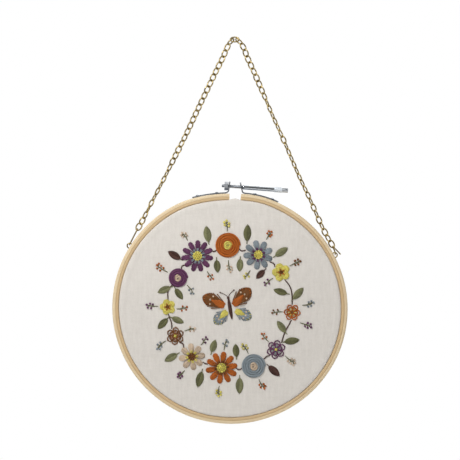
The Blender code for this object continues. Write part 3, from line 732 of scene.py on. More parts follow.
def pucker_lift(angle, radius):
    """How far the cloth sinks into, or rises beside, the small puckers by the rim."""
    lift = 0.0
    for middle, width, depth, reach in PUCKERS:
        off = angle_between(angle, middle)
        if abs(off) > 4 * width:
            continue
        fade = math.exp(-((INNER_OUTSIDE - radius) / reach) ** 2) if radius < INNER_OUTSIDE else 1.0
        across = math.exp(-(off / width) ** 2) - 0.6 * math.exp(-((off - 1.6 * width) / width) ** 2)
        lift += depth * fade * across
    return lift


def split_swell(angle):
    """How far the cloth swells out where the outer hoop's split leaves it free."""
    off = abs(angle - SPLIT_ANGLE) / math.degrees(SPLIT_WIDTH / 2 / OUTER_RADIUS)
    return SWELL * (1 - off ** 2) if off < 1 else 0.0


def cloth_profile():
    """Rows of the cloth from its middle to its trimmed edge: (radius, y, share of the puckers)."""
    edge = INNER_OUTSIDE - INNER_THICKNESS - 1.6
    rows = [(radius, CLOTH_FRONT, 1.0) for radius in (6, 14, 24, 34, 44, 54, 63, 71, 77, 81, 84)]
    rows += [(edge, CLOTH_FRONT - 0.02, 1.0), (edge + 0.9, CLOTH_FRONT - 0.10, 0.9),
             (edge + 1.9, CLOTH_CREST + 0.06, 0.8), (edge + 3.0, CLOTH_CREST, 0.7),
             (INNER_OUTSIDE - 0.4, CLOTH_CREST + 0.02, 0.6), (INNER_OUTSIDE + 0.4, CLOTH_CREST + 0.14, 0.5),
             (INNER_OUTSIDE + 1.0, CLOTH_CREST + 0.42, 0.4), (CLOTH_RADIUS - 0.12, CLOTH_CREST + 0.9, 0.3),
             (CLOTH_RADIUS, CLOTH_CREST + 1.6, 0.2)]
    return rows + [(CLOTH_RADIUS, y, 0.0) for y in (-2.5, 0.0, 2.0, CLOTH_BACK)]


def make_linen():
    """The cloth: taut, a little sunk inside the inner hoop, rolled over it and trimmed behind."""
    profile = cloth_profile()
    points = []
    for radius, y, share in profile:
        for part in shares(CLOTH_STEPS)[:-1]:
            angle = 360 * part
            lift = share * pucker_lift(angle, radius)
            drawn = 0.12 * lift - split_swell(angle) if radius > INNER_OUTSIDE - 1 else 0.0
            trimmed = 0.0
            if y == CLOTH_BACK:
                trimmed = 0.35 * math.sin(math.radians(angle) * 7) + 0.2 * math.sin(math.radians(angle) * 31)
            points.append(hoop_point(angle, radius - drawn, y + lift * 0.8 - abs(trimmed)))
    middle = len(points)
    points.append(Vector((HOOP_X, CLOTH_FRONT, HOOP_Z)))
    faces = quads_between(len(profile), CLOTH_STEPS)
    faces += [(middle, (step + 1) % CLOTH_STEPS, step) for step in range(CLOTH_STEPS)]
    piece = add_piece("linen_cloth", (points, faces), "linen", ["linen_ground"], smooth_angle=None)
    # An open sheet has no outside of its own, so its front is turned to face -Y here
    if piece.data.polygons[-1].normal.y > 0:
        piece.data.flip_normals()
    thick = piece.modifiers.new("thickness", "SOLIDIFY")
    thick.thickness = CLOTH_THICKNESS * MM
    thick.offset = -1.0
    apply_modifiers(piece)


# Steel

def make_bracket(name):
    """A strip along the rim, bent up into an ear. Both its ends are cut round."""
    far, near = STRIP_ANGLES[name]
    line = [hoop_point(far + (near - far) * part, OUTER_RADIUS + STRIP_GAP + STRIP / 2) for part in shares(24)]
    foot_end = line[-1]
    corner, top = (Vector((place[name][0], 0, place[name][1])) for place in (EAR_BENDS, EAR_TOPS))
    up_from = corner + (top - corner).normalized() * EAR_BEND_SIZE
    for part in shares(11)[1:-1]:
        line.append(foot_end * (1 - part) ** 2 + corner * (2 * part * (1 - part)) + up_from * part ** 2)
    line += [up_from.lerp(top, part) for part in (0.0, 0.3, 0.6, 0.88, 0.94, 0.98, 1.0)]
    widths = [2 * part - 1 for part in shares(6)]
    outline = [(1, width) for width in widths] + [(-1, -width) for width in widths]
    points = []
    for index, point in enumerate(line):
        along = (line[min(index + 1, len(line) - 1)] - line[max(index - 1, 0)]).normalized()
        across = Vector((-along.z, 0, along.x)) * (STRIP / 2)
        from_end = min(index, len(line) - 1 - index)
        narrow = (0.72, 0.9, 0.98)[from_end] if from_end < 3 else 1.0
        points += [point + across * side + Vector((0, width * narrow * STRIP_WIDTH / 2, 0))
                   for side, width in outline]
    shape = (points, capped(len(line), len(outline)))
    piece = add_piece("strip_" + name.split("_")[1], shape, "steel", [name], 50)
    rounded = piece.modifiers.new("edges", "BEVEL")
    rounded.width = STRIP_BEVEL * MM
    rounded.segments = 2
    rounded.limit_method = "ANGLE"
    rounded.angle_limit = math.radians(60)
    apply_modifiers(piece)


def make_rivets():
    seat = STRIP_GAP + STRIP
    outline = [(-0.2, RIVET_SHANK), (seat - 0.05, RIVET_SHANK), (seat + 0.02, RIVET_HEAD)]
    for part in shares(6):
        turn = math.pi / 2 * part
        outline.append((seat + 0.12 + (RIVET_RISE + 0.1) * math.sin(turn), RIVET_HEAD * math.cos(turn) + 0.02))
    for number, angle in enumerate(RIVET_ANGLES, start=1):
        shape = turned_on_axis(outline, 24, hoop_point(angle, OUTER_RADIUS), hoop_directions(angle)[0])
        add_piece(f"rivet_head_{number}", shape, "steel", [f"rivet_{number}"])


def screw_axis():
    slope = math.radians(SCREW_SLOPE)
    return Vector((SCREW_START[0], 0, SCREW_START[1])), Vector((math.cos(slope), 0, math.sin(slope)))


def make_screw():
    """The threaded rod is one helix of ridges. The barrel, collar and slotted tip follow it in outlines."""
    start, axis = screw_axis()
    sides = 24
    rows = int(ROD_END / (THREAD_PITCH / 6))
    points = []
    for part in shares(rows):
        distance = ROD_END * part
        lead_in = 0.80 + 0.20 * min(1.0, distance / 0.6)
        for side in range(sides):
            ridge = abs(2 * ((distance / THREAD_PITCH - side / sides) % 1.0) - 1)
            radius = (ROD_RADIUS - THREAD_DEPTH * ridge) * lead_in
            points.append(round_axis(start, axis, distance, radius, 2 * math.pi * side / sides))
    add_piece("screw_thread", (points, capped(rows + 1, sides)), "steel", ["tension_screw"], None)
    parts = {
        "barrel": ("zinc", [
            (ROD_END - 0.3, ROD_RADIUS - 0.1), (ROD_END + 0.2, ROD_RADIUS + 0.25),
            (ROD_END + 0.4, BARREL_RADIUS - 0.12), (ROD_END + 0.6, BARREL_RADIUS),
            (ROD_END + 0.9, BARREL_RADIUS), (30.0, BARREL_RADIUS), (BARREL_END - 0.4, BARREL_RADIUS),
            (BARREL_END, BARREL_RADIUS), (BARREL_END + 0.2, BARREL_RADIUS - 0.15)]),
        "collar": ("zinc_bright", [
            (BARREL_END, BARREL_RADIUS - 0.2), (BARREL_END + 0.1, COLLAR_RADIUS - 0.35),
            (BARREL_END + 0.4, COLLAR_RADIUS - 0.08), (BARREL_END + 0.7, COLLAR_RADIUS),
            (BARREL_END + 1.0, COLLAR_RADIUS), (COLLAR_END - 0.7, COLLAR_RADIUS),
            (COLLAR_END - 0.4, COLLAR_RADIUS), (COLLAR_END - 0.1, COLLAR_RADIUS - 0.1),
            (COLLAR_END + 0.1, TIP_RADIUS - 0.1)]),
        "tip": ("zinc_satin", [
            (COLLAR_END - 0.2, TIP_RADIUS - 0.1), (COLLAR_END, TIP_RADIUS), (COLLAR_END + 0.4, TIP_RADIUS),
            (SCREW_LENGTH - 0.7, TIP_RADIUS), (SCREW_LENGTH - 0.4, TIP_RADIUS),
            (SCREW_LENGTH - 0.1, TIP_RADIUS - 0.12), (SCREW_LENGTH, TIP_RADIUS - 0.35)]),
    }
    for name, (material, outline) in parts.items():
        shape = turned_on_axis(outline, 40, start, axis)
        piece = add_piece("screw_" + name, shape, material, ["tension_screw"])
    cut_slot(piece, start, axis)


def cut_slot(tip, start, axis):
    """Saws the slot into the screw's end."""
    turn = math.radians(SLOT_TURN)
    across = Vector((-axis.z, 0, axis.x)) * math.cos(turn) + Vector((0, math.sin(turn), 0))
    into = axis.cross(across)
    corners = [start + axis * distance + across * (side * SLOT_WIDTH) + into * depth
               for distance in (SCREW_LENGTH - SLOT_DEPTH, SCREW_LENGTH + 1)
               for side in (-0.5, 0.5) for depth in (-4.0, 4.0)]
    faces = [(0, 1, 3, 2), (4, 6, 7, 5), (0, 4, 5, 1), (2, 3, 7, 6), (0, 2, 6, 4), (1, 5, 7, 3)]
    cutter = new_object("slot_cutter", corners, faces)
    cut = tip.modifiers.new("slot", "BOOLEAN")
    cut.operation = "DIFFERENCE"
    cut.solver = "EXACT"
    cut.object = cutter
    apply_modifiers(tip)
    bpy.data.objects.remove(cutter)
    shade(tip, 35)


def make_nut():
    """A hexagonal ring with its bore. Rings are (distance, share of the hexagon, or 0 for the bore)."""
    start, axis = screw_axis()
    corner = NUT_FLATS / 2 / math.cos(math.pi / 6) * 0.985
    sides = 36
    rings = ((0.0, 0), (0.0, 0.90), (NUT_CHAMFER, 1.0), (NUT_THICKNESS - NUT_CHAMFER, 1.0),
             (NUT_THICKNESS, 0.90), (NUT_THICKNESS, 0))
    points = []
    for distance, share in rings:
        for side in range(sides):
            turn = 2 * math.pi * side / sides
            within = (turn + math.pi / 6) % (math.pi / 3) - math.pi / 6
            radius = min(NUT_FLATS / 2 / math.cos(within), corner) * share if share else ROD_RADIUS + 0.12
            points.append(round_axis(start, axis, NUT_FROM + distance, radius, turn + math.pi / 6))
    faces = quads_between(len(rings), sides, True)
    add_piece("nut", (points, faces), "zinc_satin", ["tension_nut"], 25)


# Brass

def make_eye(name):
    outwards, tangent = hoop_directions(EYE_ANGLES[name])
    base = hoop_point(EYE_ANGLES[name], OUTER_RADIUS)
    line = [base - tangent * EYE_RADIUS - outwards * EYE_LEG, base - tangent * EYE_RADIUS - outwards * 0.2]
    for part in shares(24):
        turn = math.pi * part
        line.append(base - tangent * (EYE_RADIUS * math.cos(turn))
                    + outwards * (EYE_RISE + EYE_RADIUS * math.sin(turn)))
    line += [base + tangent * EYE_RADIUS - outwards * 0.2, base + tangent * EYE_RADIUS - outwards * EYE_LEG]
    shape = tube_along(line, HOOK_WIRE, 16, False, Vector((0, 1, 0)))
    add_piece("staple_" + name.split("_")[1], shape, "brass", [name])


def through_eye(name, along_rim):
    outwards, tangent = hoop_directions(EYE_ANGLES[name])
    return hoop_point(EYE_ANGLES[name], OUTER_RADIUS) + tangent * along_rim + outwards * THROUGH_EYE


def make_left_connector(last_link):
    """A long closed ring, seen edge on, from the last link down through the eye."""
    low = through_eye("eye_left", -0.5)
    high = last_link["low_end"]
    axis = (high - low).normalized()
    high = high + axis * (2 * LINK_WIRE + HOOK_ROOM)
    middle = (low + high) / 2
    straight = (high - low).length / 2 - CONNECTOR_HALF_WIDTH
    line = []
    for end in (1, -1):
        for part in shares(14):
            turn = math.pi * (part - 0.5)
            line.append(middle + axis * (end * (straight + CONNECTOR_HALF_WIDTH * math.cos(turn)))
                        + Vector((0, end * CONNECTOR_HALF_WIDTH * math.sin(turn), 0)))
    in_plane = axis.cross(Vector((0, 1, 0)))
    add_piece("jump_ring_left", tube_along(line, HOOK_WIRE, 14, True, in_plane), "brass", ["connector_left"])


def make_right_connector(last_link):
    """An opened ring: a straight tail, a bend through the last link, and a hook through the eye."""
    eye = through_eye("eye_right", 0.4)
    outwards, tangent = hoop_directions(EYE_ANGLES["eye_right"])
    bend = last_link["low_end"] - last_link["axis"] * (2 * LINK_WIRE + HOOK_ROOM)
    beside = Vector((0, TAIL_SIDE, 0))
    tail = Vector((TAIL_END[0], TAIL_SIDE, TAIL_END[1]))
    knots = [tail, tail.lerp(bend + beside, 0.5), bend + beside + (tail - bend).normalized() * 1.2, bend,
             bend - beside + (eye - bend).normalized() * 1.4, eye.lerp(bend, 0.3) - beside + outwards * 0.5,
             eye + Vector((0, HOOK_ENDS[0], 0)) - tangent * 0.2, eye,
             eye + Vector((0, HOOK_ENDS[1], 0)) + tangent * 0.1]
    add_piece("jump_ring_right", tube_along(smooth_line(knots, 8), HOOK_WIRE, 14, False), "brass",
              ["connector_right"])


def along_line(line, distance):
    """The point so far along a line, and the line's direction there."""
    left = distance
    for start, end in zip(line, line[1:]):
        length = (end - start).length
        if left <= length:
            return start + (end - start) * (left / length), (end - start).normalized()
        left -= length
    return line[-1], (line[-1] - line[-2]).normalized()


def leg_links(name):
    """Each link's centre, direction, pitch and roll, as in the part's source."""
    line = smooth_line([Vector((x, 0, z)) for x, z in LEG_LINES[name]], 6)
    length = sum((end - start).length for start, end in zip(line, line[1:]))
    reach, rolls = APEX_REACH[name], LEG_ROLLS[name]
    pitch = (length - reach) / (len(rolls) - 1)
    links = []
    for number, roll in enumerate(rolls):
        centre, axis = along_line(line, min(reach + number * pitch, length))
        links.append({"centre": centre, "axis": axis, "pitch": pitch,
                      "roll": FIRST_SIDE[name] * (-1) ** number * roll})
    links[-1]["low_end"] = links[-1]["centre"] + links[-1]["axis"] * (pitch / 2 + LINK_HOLD)
    return links


def link_shape(link):
    """One oval ring of wire. Its half length lets its neighbours hang in it, wire on wire."""
    axis = link["axis"]
    roll = math.radians(link["roll"])
    side = Vector((-axis.z, 0, axis.x)) * math.cos(roll) + Vector((0, math.sin(roll), 0))
    half_length = link["pitch"] / 2 + LINK_HOLD
    half_width = LINK_WIDTH / 2 - LINK_WIRE
    line = [link["centre"] + axis * (half_length * math.cos(2 * math.pi * part))
            + side * (half_width * math.sin(2 * math.pi * part)) for part in shares(36)[:-1]]
    return tube_along(line, LINK_WIRE, 12, True, axis.cross(side))


def make_chain():
    legs = {name: leg_links(name) for name in LEG_LINES}
    for name, links in legs.items():
        add_piece("links_" + name.split("_")[1], joined([link_shape(link) for link in links]), "brass", [name])
    apex = {"centre": Vector((0, 0, -APEX_DROP)), "axis": Vector((1, 0, 0)), "roll": APEX_ROLL,
            "pitch": legs["chain_left"][0]["pitch"] + 2 * APEX_STRETCH - APEX_SHORTER}
    add_piece("link_top", link_shape(apex), "brass", ["apex_link"])
    make_left_connector(legs["chain_left"][-1])
    make_right_connector(legs["chain_right"][-1])


# Stitches

class Stitches:
    """Strands of thread gathered into one mesh, with what the thread material reads at each point."""

    def __init__(self):
        self.points = []
        self.faces = []
        self.strand = []
        self.tint = []
        self.last_hole = None

    def add(self, line, half_width=STRAND_HALF, half_height=STRAND_LOW, tint=None, sides=6, taper=True):
        """A strand along (u, v, height) points. Its ends are thinner where it dives into the cloth."""
        line = np.asarray(line, float)
        count = len(line)
        if tint is None:
            tint = random.uniform(0.32, 0.78)
        along = np.vstack([line[1:], line[-1:]]) - np.vstack([line[:1], line[:-1]])
        along /= np.linalg.norm(along, axis=1)[:, None] + 1e-9
        side = np.stack([along[:, 1], -along[:, 0], np.zeros(count)], 1)
        side[np.linalg.norm(side, axis=1) < 0.15] = (1.0, 0.0, 0.0)
        side /= np.linalg.norm(side, axis=1)[:, None]
        upright = np.cross(side, along)
        upright[upright[:, 2] < 0] *= -1
        steps = np.concatenate([[0.0], np.cumsum(np.linalg.norm(np.diff(line, axis=0), axis=1))])
        first = len(self.points)
        for index in range(count):
            share = 0.55 if taper and index in (0, count - 1) else 1.0
            for corner in range(sides):
                turn = 2 * math.pi * corner / sides
                spot = (line[index] + side[index] * (half_width * share * math.cos(turn))
                        + upright[index] * (half_height * share * math.sin(turn)))
                self.points.append((HOOP_X + spot[0], CLOTH_FRONT - spot[2], HOOP_Z + spot[1]))
                self.strand.append((steps[index], math.cos(turn), math.sin(turn)))
                self.tint.append(tint if np.isscalar(tint) else tint[index])
        self.faces += [tuple(first + corner for corner in face) for face in capped(count, sides)]

    def stitch(self, start, end, rise, **options):
        """A straight stitch from hole to hole, over padding that lifts its middle."""
        if self.last_hole is not None and np.linalg.norm(start - self.last_hole) < LONGEST_TRAVEL:
            self.travel(self.last_hole, start)
        self.last_hole = end
        line = []
        for part, lift in STITCH_SHAPE:
            height = STRAND_LOW * 0.7 + lift * rise if lift > 0 else lift
            line.append((*(start + (end - start) * part), height))
        self.add(line, **options)

    def travel(self, start, end):
        """The thread on the cloth's back, from one stitch's last hole to the next one's first."""
        line = [(*(start + (end - start) * part), -CLOTH_THICKNESS - depth) for part, depth in TRAVEL_SHAPE]
        self.add(line, tint=0.45, sides=5)

    def knot(self, place, size, height=0.0):
        """A French knot: two wraps of thread, drawn tight."""
        turn_at = random.uniform(0, 2 * math.pi)
        tint = random.uniform(0.35, 0.8)
        line = []
        for part in shares(20):
            turn = turn_at + 2 * math.pi * 1.9 * part
            reach = size * (0.62 - 0.34 * part)
            line.append((place[0] + reach * math.cos(turn), place[1] + reach * math.sin(turn),
                         height + size * (0.25 + 0.62 * part)))
        line.append((place[0], place[1], height + size * 0.75))
        self.add(line, half_width=size * 0.36, half_height=size * 0.34, tint=tint, taper=False)

    def make(self, name, thread, nodes=()):
        piece = add_piece(name, (self.points, self.faces), "thread_" + thread, nodes, None)
        for key, kind, field, values in (("strand", "FLOAT_VECTOR", "vector", self.strand),
                                         ("tint", "FLOAT", "value", self.tint)):
            stored = piece.data.attributes.new(key, kind, "POINT")
            stored.data.foreach_set(field, np.asarray(values, np.float32).ravel())


def make_daisy(name, middle, angle, radius, petals, threads):
    """Satin petals, each a fan of stitches, with a darker row at their feet and knots in the middle."""
    foot = radius * 0.27
    half_tip = 0.45 * 2 * math.pi * radius * 0.74 / petals
    half_foot = 0.36 * 2 * math.pi * foot / petals
    count = 2 * int(half_tip / 0.58)
    petal, inner, centre = Stitches(), Stitches(), Stitches()
    for number in range(petals):
        at = ruler(middle, angle + 360 * number / petals + random.uniform(-1.5, 1.5))
        reach = radius * random.uniform(0.96, 1.0)
        tone = random.uniform(0.38, 0.66)
        for index, part in enumerate(shares(count)):
            off = 2 * part - 1
            tip = reach - radius * 0.30 * (1 - math.sqrt(max(0.0, 1 - 0.96 * off * off)))
            start = foot + (0.0 if index % 2 == 0 else radius * 0.20) + random.uniform(-0.2, 0.2)
            spread = half_foot + (half_tip - half_foot) * (start - foot) / (radius - foot)
            petal.stitch(at(start, off * spread), at(tip, off * half_tip * (1 - 0.22 * off * off)),
                         rise=0.75 + 0.25 * math.cos(off * math.pi / 2) + random.uniform(-0.05, 0.05),
                         half_width=0.36, tint=min(0.95, max(0.1, tone + random.uniform(-0.16, 0.16))))
        for off in (-0.5, 0.0, 0.5):
            inner.stitch(at(foot * 0.8, off * half_foot),
                         at(radius * random.uniform(0.50, 0.60), off * half_tip * 0.62),
                         rise=1.12, half_width=0.27)
    petal.make(name + "_petals", threads[0], [name])
    inner.make(name + "_shading", threads[1])
    for share, knots in ((0.0, 1), (0.42, 6), (0.86, 11)):
        for number in range(knots):
            spot = middle + heading(360 * number / knots + 20 * share) * (foot * share + 0.1)
            centre.knot(spot, foot * 0.30, 0.55 - 0.25 * share)
    centre.make(name + "_knots", threads[2])


def make_rose(name, middle, _angle, radius, _petals, threads):
    """A woven wheel: one thick thread wound inwards, over and under five spokes."""
    outer, heart = Stitches(), Stitches()
    turns = (radius - ROSE_HALF - 0.5) / ROSE_PITCH
    for wheel, start, end in ((outer, 0.0, 0.70), (heart, 0.69, 1.0)):
        line = []
        lit_and_shaded_tints = []
        position = start * turns
        while position < end * turns:
            reach = radius - ROSE_HALF - ROSE_PITCH * position
            turn = 2 * math.pi * position
            inwards = position / turns
            over = math.sin(2.5 * turn)
            line.append((middle[0] + reach * math.cos(turn), middle[1] + reach * math.sin(turn),
                         0.45 + 1.15 * inwards ** 0.8 + 0.26 * over))
            # Painted light and shade: lighter where the thread rides over a spoke and darker where it dives
            # under; it also darkens a little towards the middle
            lit_and_shaded_tints.append(0.52 + 0.22 * over - 0.14 * inwards + 0.10 * math.sin(0.7 * turn))
            position += 0.75 / (2 * math.pi * max(reach, 0.8))
        wheel.add(line, half_width=ROSE_HALF, half_height=ROSE_LOW, tint=lit_and_shaded_tints, sides=8)
    outer.make(name + "_wheel", threads[0], [name])
    heart.make(name + "_heart", threads[1])


def make_buttercup(name, middle, angle, radius, petals, threads):
    """Rounded petals of padded satin stitch laid across them, with a few straight stitches on top."""
    petal, veins, centre = Stitches(), Stitches(), Stitches()
    foot = radius * 0.22
    count = int((radius - foot) / 0.52)
    for number in range(petals):
        at = ruler(middle, angle + 360 * number / petals)
        for index in range(count + 1):
            part = (index + 0.5) / (count + 1)
            half = radius * 0.46 * math.sin(math.pi * (0.10 + 0.82 * part)) ** 0.7
            along = foot + (radius - foot) * part
            petal.stitch(at(along, -half), at(along, half), rise=0.85, half_width=0.34)
        for off in (-0.22, 0.0, 0.22):
            veins.stitch(at(radius * 0.16, off * 0.6), at(radius * (0.66 - abs(off)), off * radius * 0.55),
                         rise=1.28, half_width=0.24)
    petal.make(name + "_petals", threads[0], [name])
    veins.make(name + "_veins", threads[1])
    for number in range(5):
        centre.knot(middle + heading(72 * number) * 0.95, 0.72, 0.75)
    centre.knot(middle, 0.72, 1.0)
    centre.make(name + "_knots", threads[2])


def make_loop_flower(name, middle, angle, radius, petals, threads):
    """Detached chain stitch: each petal is two loops, one in the other, tied down at the tip."""
    loops, fill, centre = Stitches(), Stitches(), Stitches()
    for number in range(petals):
        at = ruler(middle, angle + 360 * number / petals + random.uniform(-2, 2))
        for size, lift in ((1.0, 0.42), (0.64, 0.62)):
            line = []
            for part in shares(22):
                turn = 2 * math.pi * part
                out_share = (1 - math.cos(turn)) / 2
                swell = math.sin(turn) * (0.45 + 0.55 * out_share)
                spot = at(radius * (0.14 + 0.80 * size * out_share), radius * 0.31 * size * 1.25 * swell)
                line.append((*spot, lift if 0 < part < 1 else -0.2))
            loops.add(line, half_width=0.46, half_height=0.38)
        loops.stitch(at(radius * 0.94 - 0.5), at(radius * 0.94 + 0.75), rise=0.75, half_width=0.30)
        fill.stitch(at(radius * 0.2), at(radius * 0.58), rise=0.62, half_width=0.30)
    loops.make(name + "_loops", threads[0], [name])
    fill.make(name + "_fill", threads[1])
    for number in range(4):
        centre.knot(middle + heading(90 * number + 30) * 0.8, 0.75, 0.45)
    centre.knot(middle, 0.75, 0.85)
    centre.make(name + "_knots", threads[2])


def make_leaf(name, angle, distance, length, width, turn, thread):
    """Fishbone stitch: slanting stitches from each edge in turn, crossing at the midrib."""
    at = ruler(on_cloth(angle, distance), angle + turn)
    leaf = Stitches()
    leaf.stitch(at(length * 0.32), at(length * 0.5), rise=0.5, half_width=0.34)
    count = int(length / 0.74)
    for index in range(count, 0, -1):
        part = 0.10 + 0.84 * index / count
        half = width / 2 * math.sin(math.pi * part) ** 0.75
        for side in (1, -1):
            # Painted light: the stitches from one edge are lighter and those from the other darker, as their
            # slants catch the light differently
            leaf.stitch(at(length * (part - 0.5), side * half),
                        at(length * (max(0.02, part - 0.20) - 0.5), side * -0.32), rise=0.62 + 0.1 * side,
                        half_width=0.40, tint=0.50 + 0.16 * side + random.uniform(-0.14, 0.14))
    leaf.stitch(at(-length * 0.5 - 2.2), at(-length * 0.42), rise=0.40, half_width=0.36)
    leaf.make(name + "_stitches", thread, [name])


def make_wing(name, angle, distance, length, width, inner_thread, outer_thread):
    """A wing in long and short stitch: one colour by the body, another to the edge, and knots for spots."""
    at = ruler(on_cloth(angle, distance), angle)
    inner, outer, spots = Stitches(), Stitches(), Stitches()
    for index, share in enumerate(shares(2 * int(width / 2 / 0.60))):
        off = 2 * share - 1
        far = 1 - math.asin(min(1.0, abs(off) ** (1 / WING_FULLNESS))) / math.pi
        lateral = off * width / 2
        join = min(0.30 + 0.34 * (1 - abs(off)) + random.uniform(-0.05, 0.05), far - 0.12)
        start = at(length * (0.02 - 0.5), lateral * 0.22)
        end = at(length * (far - 0.5), lateral)
        run = end - start
        meet = start + run * join
        inner.stitch(start, meet + run * 0.04, rise=0.80, half_width=0.36)
        outer.stitch(meet - run * 0.05, end, rise=0.92, half_width=0.38)
        if index % 3 == 1 and abs(off) < 0.8:
            inner.stitch(end - run * 0.14, end - run * 0.03, rise=1.15, half_width=0.26)
    outer.make(name + "_edge", outer_thread, [name])
    inner.make(name + "_field", inner_thread)
    for part, off in ((0.66, 0.0), (0.60, 0.26), (0.60, -0.26)):
        spots.knot(at(length * (part - 0.5), off * width), 0.95, 0.75)
    spots.make(name + "_spots", "cream")


def make_body():
    angle, distance, length, width = BODY
    at = ruler(on_cloth(angle, distance), angle)
    body = Stitches()
    for step in shares(int(length / 0.50)):
        part = 0.02 + 0.96 * step
        half = width / 2 * math.sin(math.pi * part) ** 0.6 + 0.1
        along = length * (part - 0.5)
        body.stitch(at(along, -half), at(along, half), rise=0.85, half_width=0.33)
    head = length * 0.5 + 0.4
    body.knot(at(head), 1.35)
    for side in (-1, 1):
        stops = [at(head + 1.4 * step, side * (0.35 * step + 0.28 * step ** 2)) for step in range(5)]
        for start, end in zip(stops, stops[1:]):
            body.stitch(start, end, rise=0.32, half_width=0.24)
        body.knot(stops[-1], 0.75)
    body.make("butterfly_body_stitches", "dark", ["butterfly_body"])


def stem_stitches(stitches, line, half_width):
    """Stem stitch along a line: short stitches that overlap by half and lie side by side, like a rope."""
    lengths = np.concatenate([[0.0], np.cumsum([np.linalg.norm(b - a) for a, b in zip(line, line[1:])])])
    total = lengths[-1]
    count = max(2, int(total / 1.5))

    def at(distance):
        index = min(int(np.searchsorted(lengths, distance, side="right")) - 1, len(line) - 2)
        part = (distance - lengths[index]) / (lengths[index + 1] - lengths[index] + 1e-9)
        return line[index] + (line[index + 1] - line[index]) * min(part, 1.0)

    for index in range(count):
        start = at(total * index / (count + 1))
        end = at(total * (index + 2) / (count + 1))
        along = (end - start) / (np.linalg.norm(end - start) + 1e-9)
        aside = np.array((-along[1], along[0])) * 0.16
        stitches.stitch(start + aside, end - aside, rise=0.30 + 0.05 * (index % 2), half_width=half_width)


def make_stem():
    """The wreath's stem, seen between the flowers."""
    stems = Stitches()
    order = sorted((row[1], math.degrees(row[3] * 0.90 / STEM_RADIUS)) for row in FLOWERS)
    for (angle, covered), (next_angle, next_covered) in zip(order, order[1:] + order[:1]):
        start = angle + covered
        end = next_angle - next_covered
        end += 360 if end < start - 180 else 0
        if end - start < 3:
            continue
        line = []
        for part in shares(max(4, int((end - start) * 0.8))):
            here = start + (end - start) * part
            wave = STEM_WAVE * math.sin(math.pi * part) * math.sin(math.radians(3 * here))
            line.append(on_cloth(here, STEM_RADIUS + wave))
        stem_stitches(stems, line, 0.42)
    stems.make("wreath_stem", "dark")


def make_sprigs():
    """Bent stalks with a knot at the tip and knots to either side, gathered by thread."""
    stalks = Stitches()
    berries = {}
    steps = 8
    for angle, distance, points_to, length, bend, knots, size, thread in SPRIGS:
        place = on_cloth(angle, distance)
        line = [place]
        aims = [points_to + bend * step / steps for step in range(steps)]
        for aim in aims:
            place = place + heading(aim) * (length / steps)
            line.append(place)
        stem_stitches(stalks, line, 0.30)
        gathered = berries.setdefault(thread, Stitches())
        gathered.knot(place, size)
        for number in range(knots - 1):
            spot = 2 + number * (steps - 3) // (knots - 1)
            side = 1 if number % 2 else -1
            off = heading(aims[spot] + 62 * side) * (1.9 + 0.12 * number)
            gathered.knot(line[spot + 1] + off, size * random.uniform(0.84, 1.0))
            stalks.stitch(line[spot + 1], line[spot + 1] + off * 0.8, rise=0.26, half_width=0.24)
    stalks.make("sprig_stalks", "olive")
    for thread, gathered in berries.items():
        gathered.make("sprig_knots_" + thread, thread)


def make_embroidery():
    makers = {"daisy": make_daisy, "rose": make_rose, "buttercup": make_buttercup, "loops": make_loop_flower}
    for name, angle, distance, radius, petals, stitch, *threads in FLOWERS:
        makers[stitch](name, on_cloth(angle, distance), angle, radius, petals, threads)
    for number, row in enumerate(LEAVES, start=1):
        make_leaf(f"leaf_{number:02d}", *row)
    for row in WINGS:
        make_wing(*row)
    make_body()
    make_stem()
    make_sprigs()


# Studio

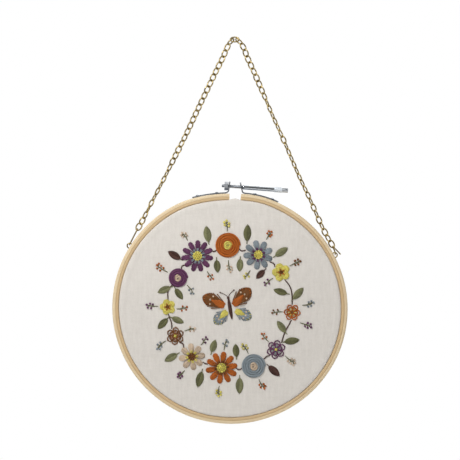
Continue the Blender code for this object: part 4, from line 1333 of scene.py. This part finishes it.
def make_world():
    """A soft white studio: bright behind, and in front by height. The background is plain white."""
    world = bpy.data.worlds.new("studio")
    bpy.context.scene.world = world
    world.use_nodes = True
    tree = world.node_tree
    tree.nodes.clear()
    axes = separated(tree, add_node(tree, "ShaderNodeTexCoord").outputs["Generated"])
    behind = ranged(tree, axes[1], -0.12, 0.20, 0.0, 1.0)
    back = ranged(tree, axes[2], -0.9, -0.3, BACK_LOW, BACK_LEVEL)
    front = add_node(tree, "ShaderNodeValToRGB", {0: ranged(tree, axes[2], -1.0, 1.0, 0.0, 1.0)})
    stops = front.color_ramp.elements
    while len(stops) < len(FRONT_LEVELS):
        stops.new(0.5)
    for stop, (height, level) in zip(stops, FRONT_LEVELS):
        stop.position = (height + 1) / 2
        stop.color = (level, level, level, 1.0)
    strength = maths(tree, "ADD", maths(tree, "MULTIPLY", behind, back),
                     maths(tree, "MULTIPLY", maths(tree, "SUBTRACT", 1.0, behind), front.outputs[0]))
    soft = add_node(tree, "ShaderNodeBackground", {"Color": (0.985, 0.99, 1.0), "Strength": strength})
    white = add_node(tree, "ShaderNodeBackground", {"Color": (1.0, 1.0, 1.0), "Strength": 1.0})
    seen = add_node(tree, "ShaderNodeLightPath").outputs["Is Camera Ray"]
    both = add_node(tree, "ShaderNodeMixShader", {0: seen, 1: soft.outputs[0], 2: white.outputs[0]})
    add_node(tree, "ShaderNodeOutputWorld", {0: both.outputs[0]})


def make_lights():
    target = Vector((HOOP_X, 0, HOOP_Z)) * MM
    for name, place, size, power in LIGHTS:
        data = bpy.data.lights.new(name, "AREA")
        data.shape = "SQUARE"
        data.size = size
        data.energy = power
        light = bpy.data.objects.new(name, data)
        light.location = target + Vector(place)
        light.rotation_euler = (-Vector(place)).to_track_quat("-Z", "Y").to_euler()
        bpy.context.scene.collection.objects.link(light)


def make_floor():
    """A pale floor well below the hoop, out of the front view."""
    material, tree, shader = new_material("floor", Roughness=0.8)
    grain = noise(tree, object_place(tree), 30.0, 2.0)
    fill_inputs(tree, shader, {"Base Color": mixed(tree, grain, *FLOOR_COLOURS)})
    corners = [(x * FLOOR_REACH, y * FLOOR_REACH, FLOOR_LEVEL) for x, y in ((-1, -1), (1, -1), (1, 1), (-1, 1))]
    floor = new_object("floor", corners, [(0, 1, 2, 3)])
    floor.data.materials.append(material)


def make_camera():
    data = bpy.data.cameras.new("camera")
    data.sensor_width = SENSOR
    data.lens = SENSOR * CAMERA_DISTANCE / FIELD_WIDTH
    data.clip_end = 20.0
    camera = bpy.data.objects.new("camera", data)
    camera.location = (CAMERA_X * MM, -CAMERA_DISTANCE * MM, CAMERA_Z * MM)
    camera.rotation_euler = (math.radians(90), 0, 0)
    bpy.context.scene.collection.objects.link(camera)
    bpy.context.scene.camera = camera


def main():
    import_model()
    make_materials()
    make_outer_hoop()
    make_inner_hoop()
    make_linen()
    for name in STRIP_ANGLES:
        make_bracket(name)
    make_rivets()
    make_screw()
    make_nut()
    for name in EYE_ANGLES:
        make_eye(name)
    make_chain()
    make_embroidery()
    bpy.context.scene.view_settings.view_transform = "Standard"
    make_world()
    make_lights()
    make_floor()
    make_camera()


main()
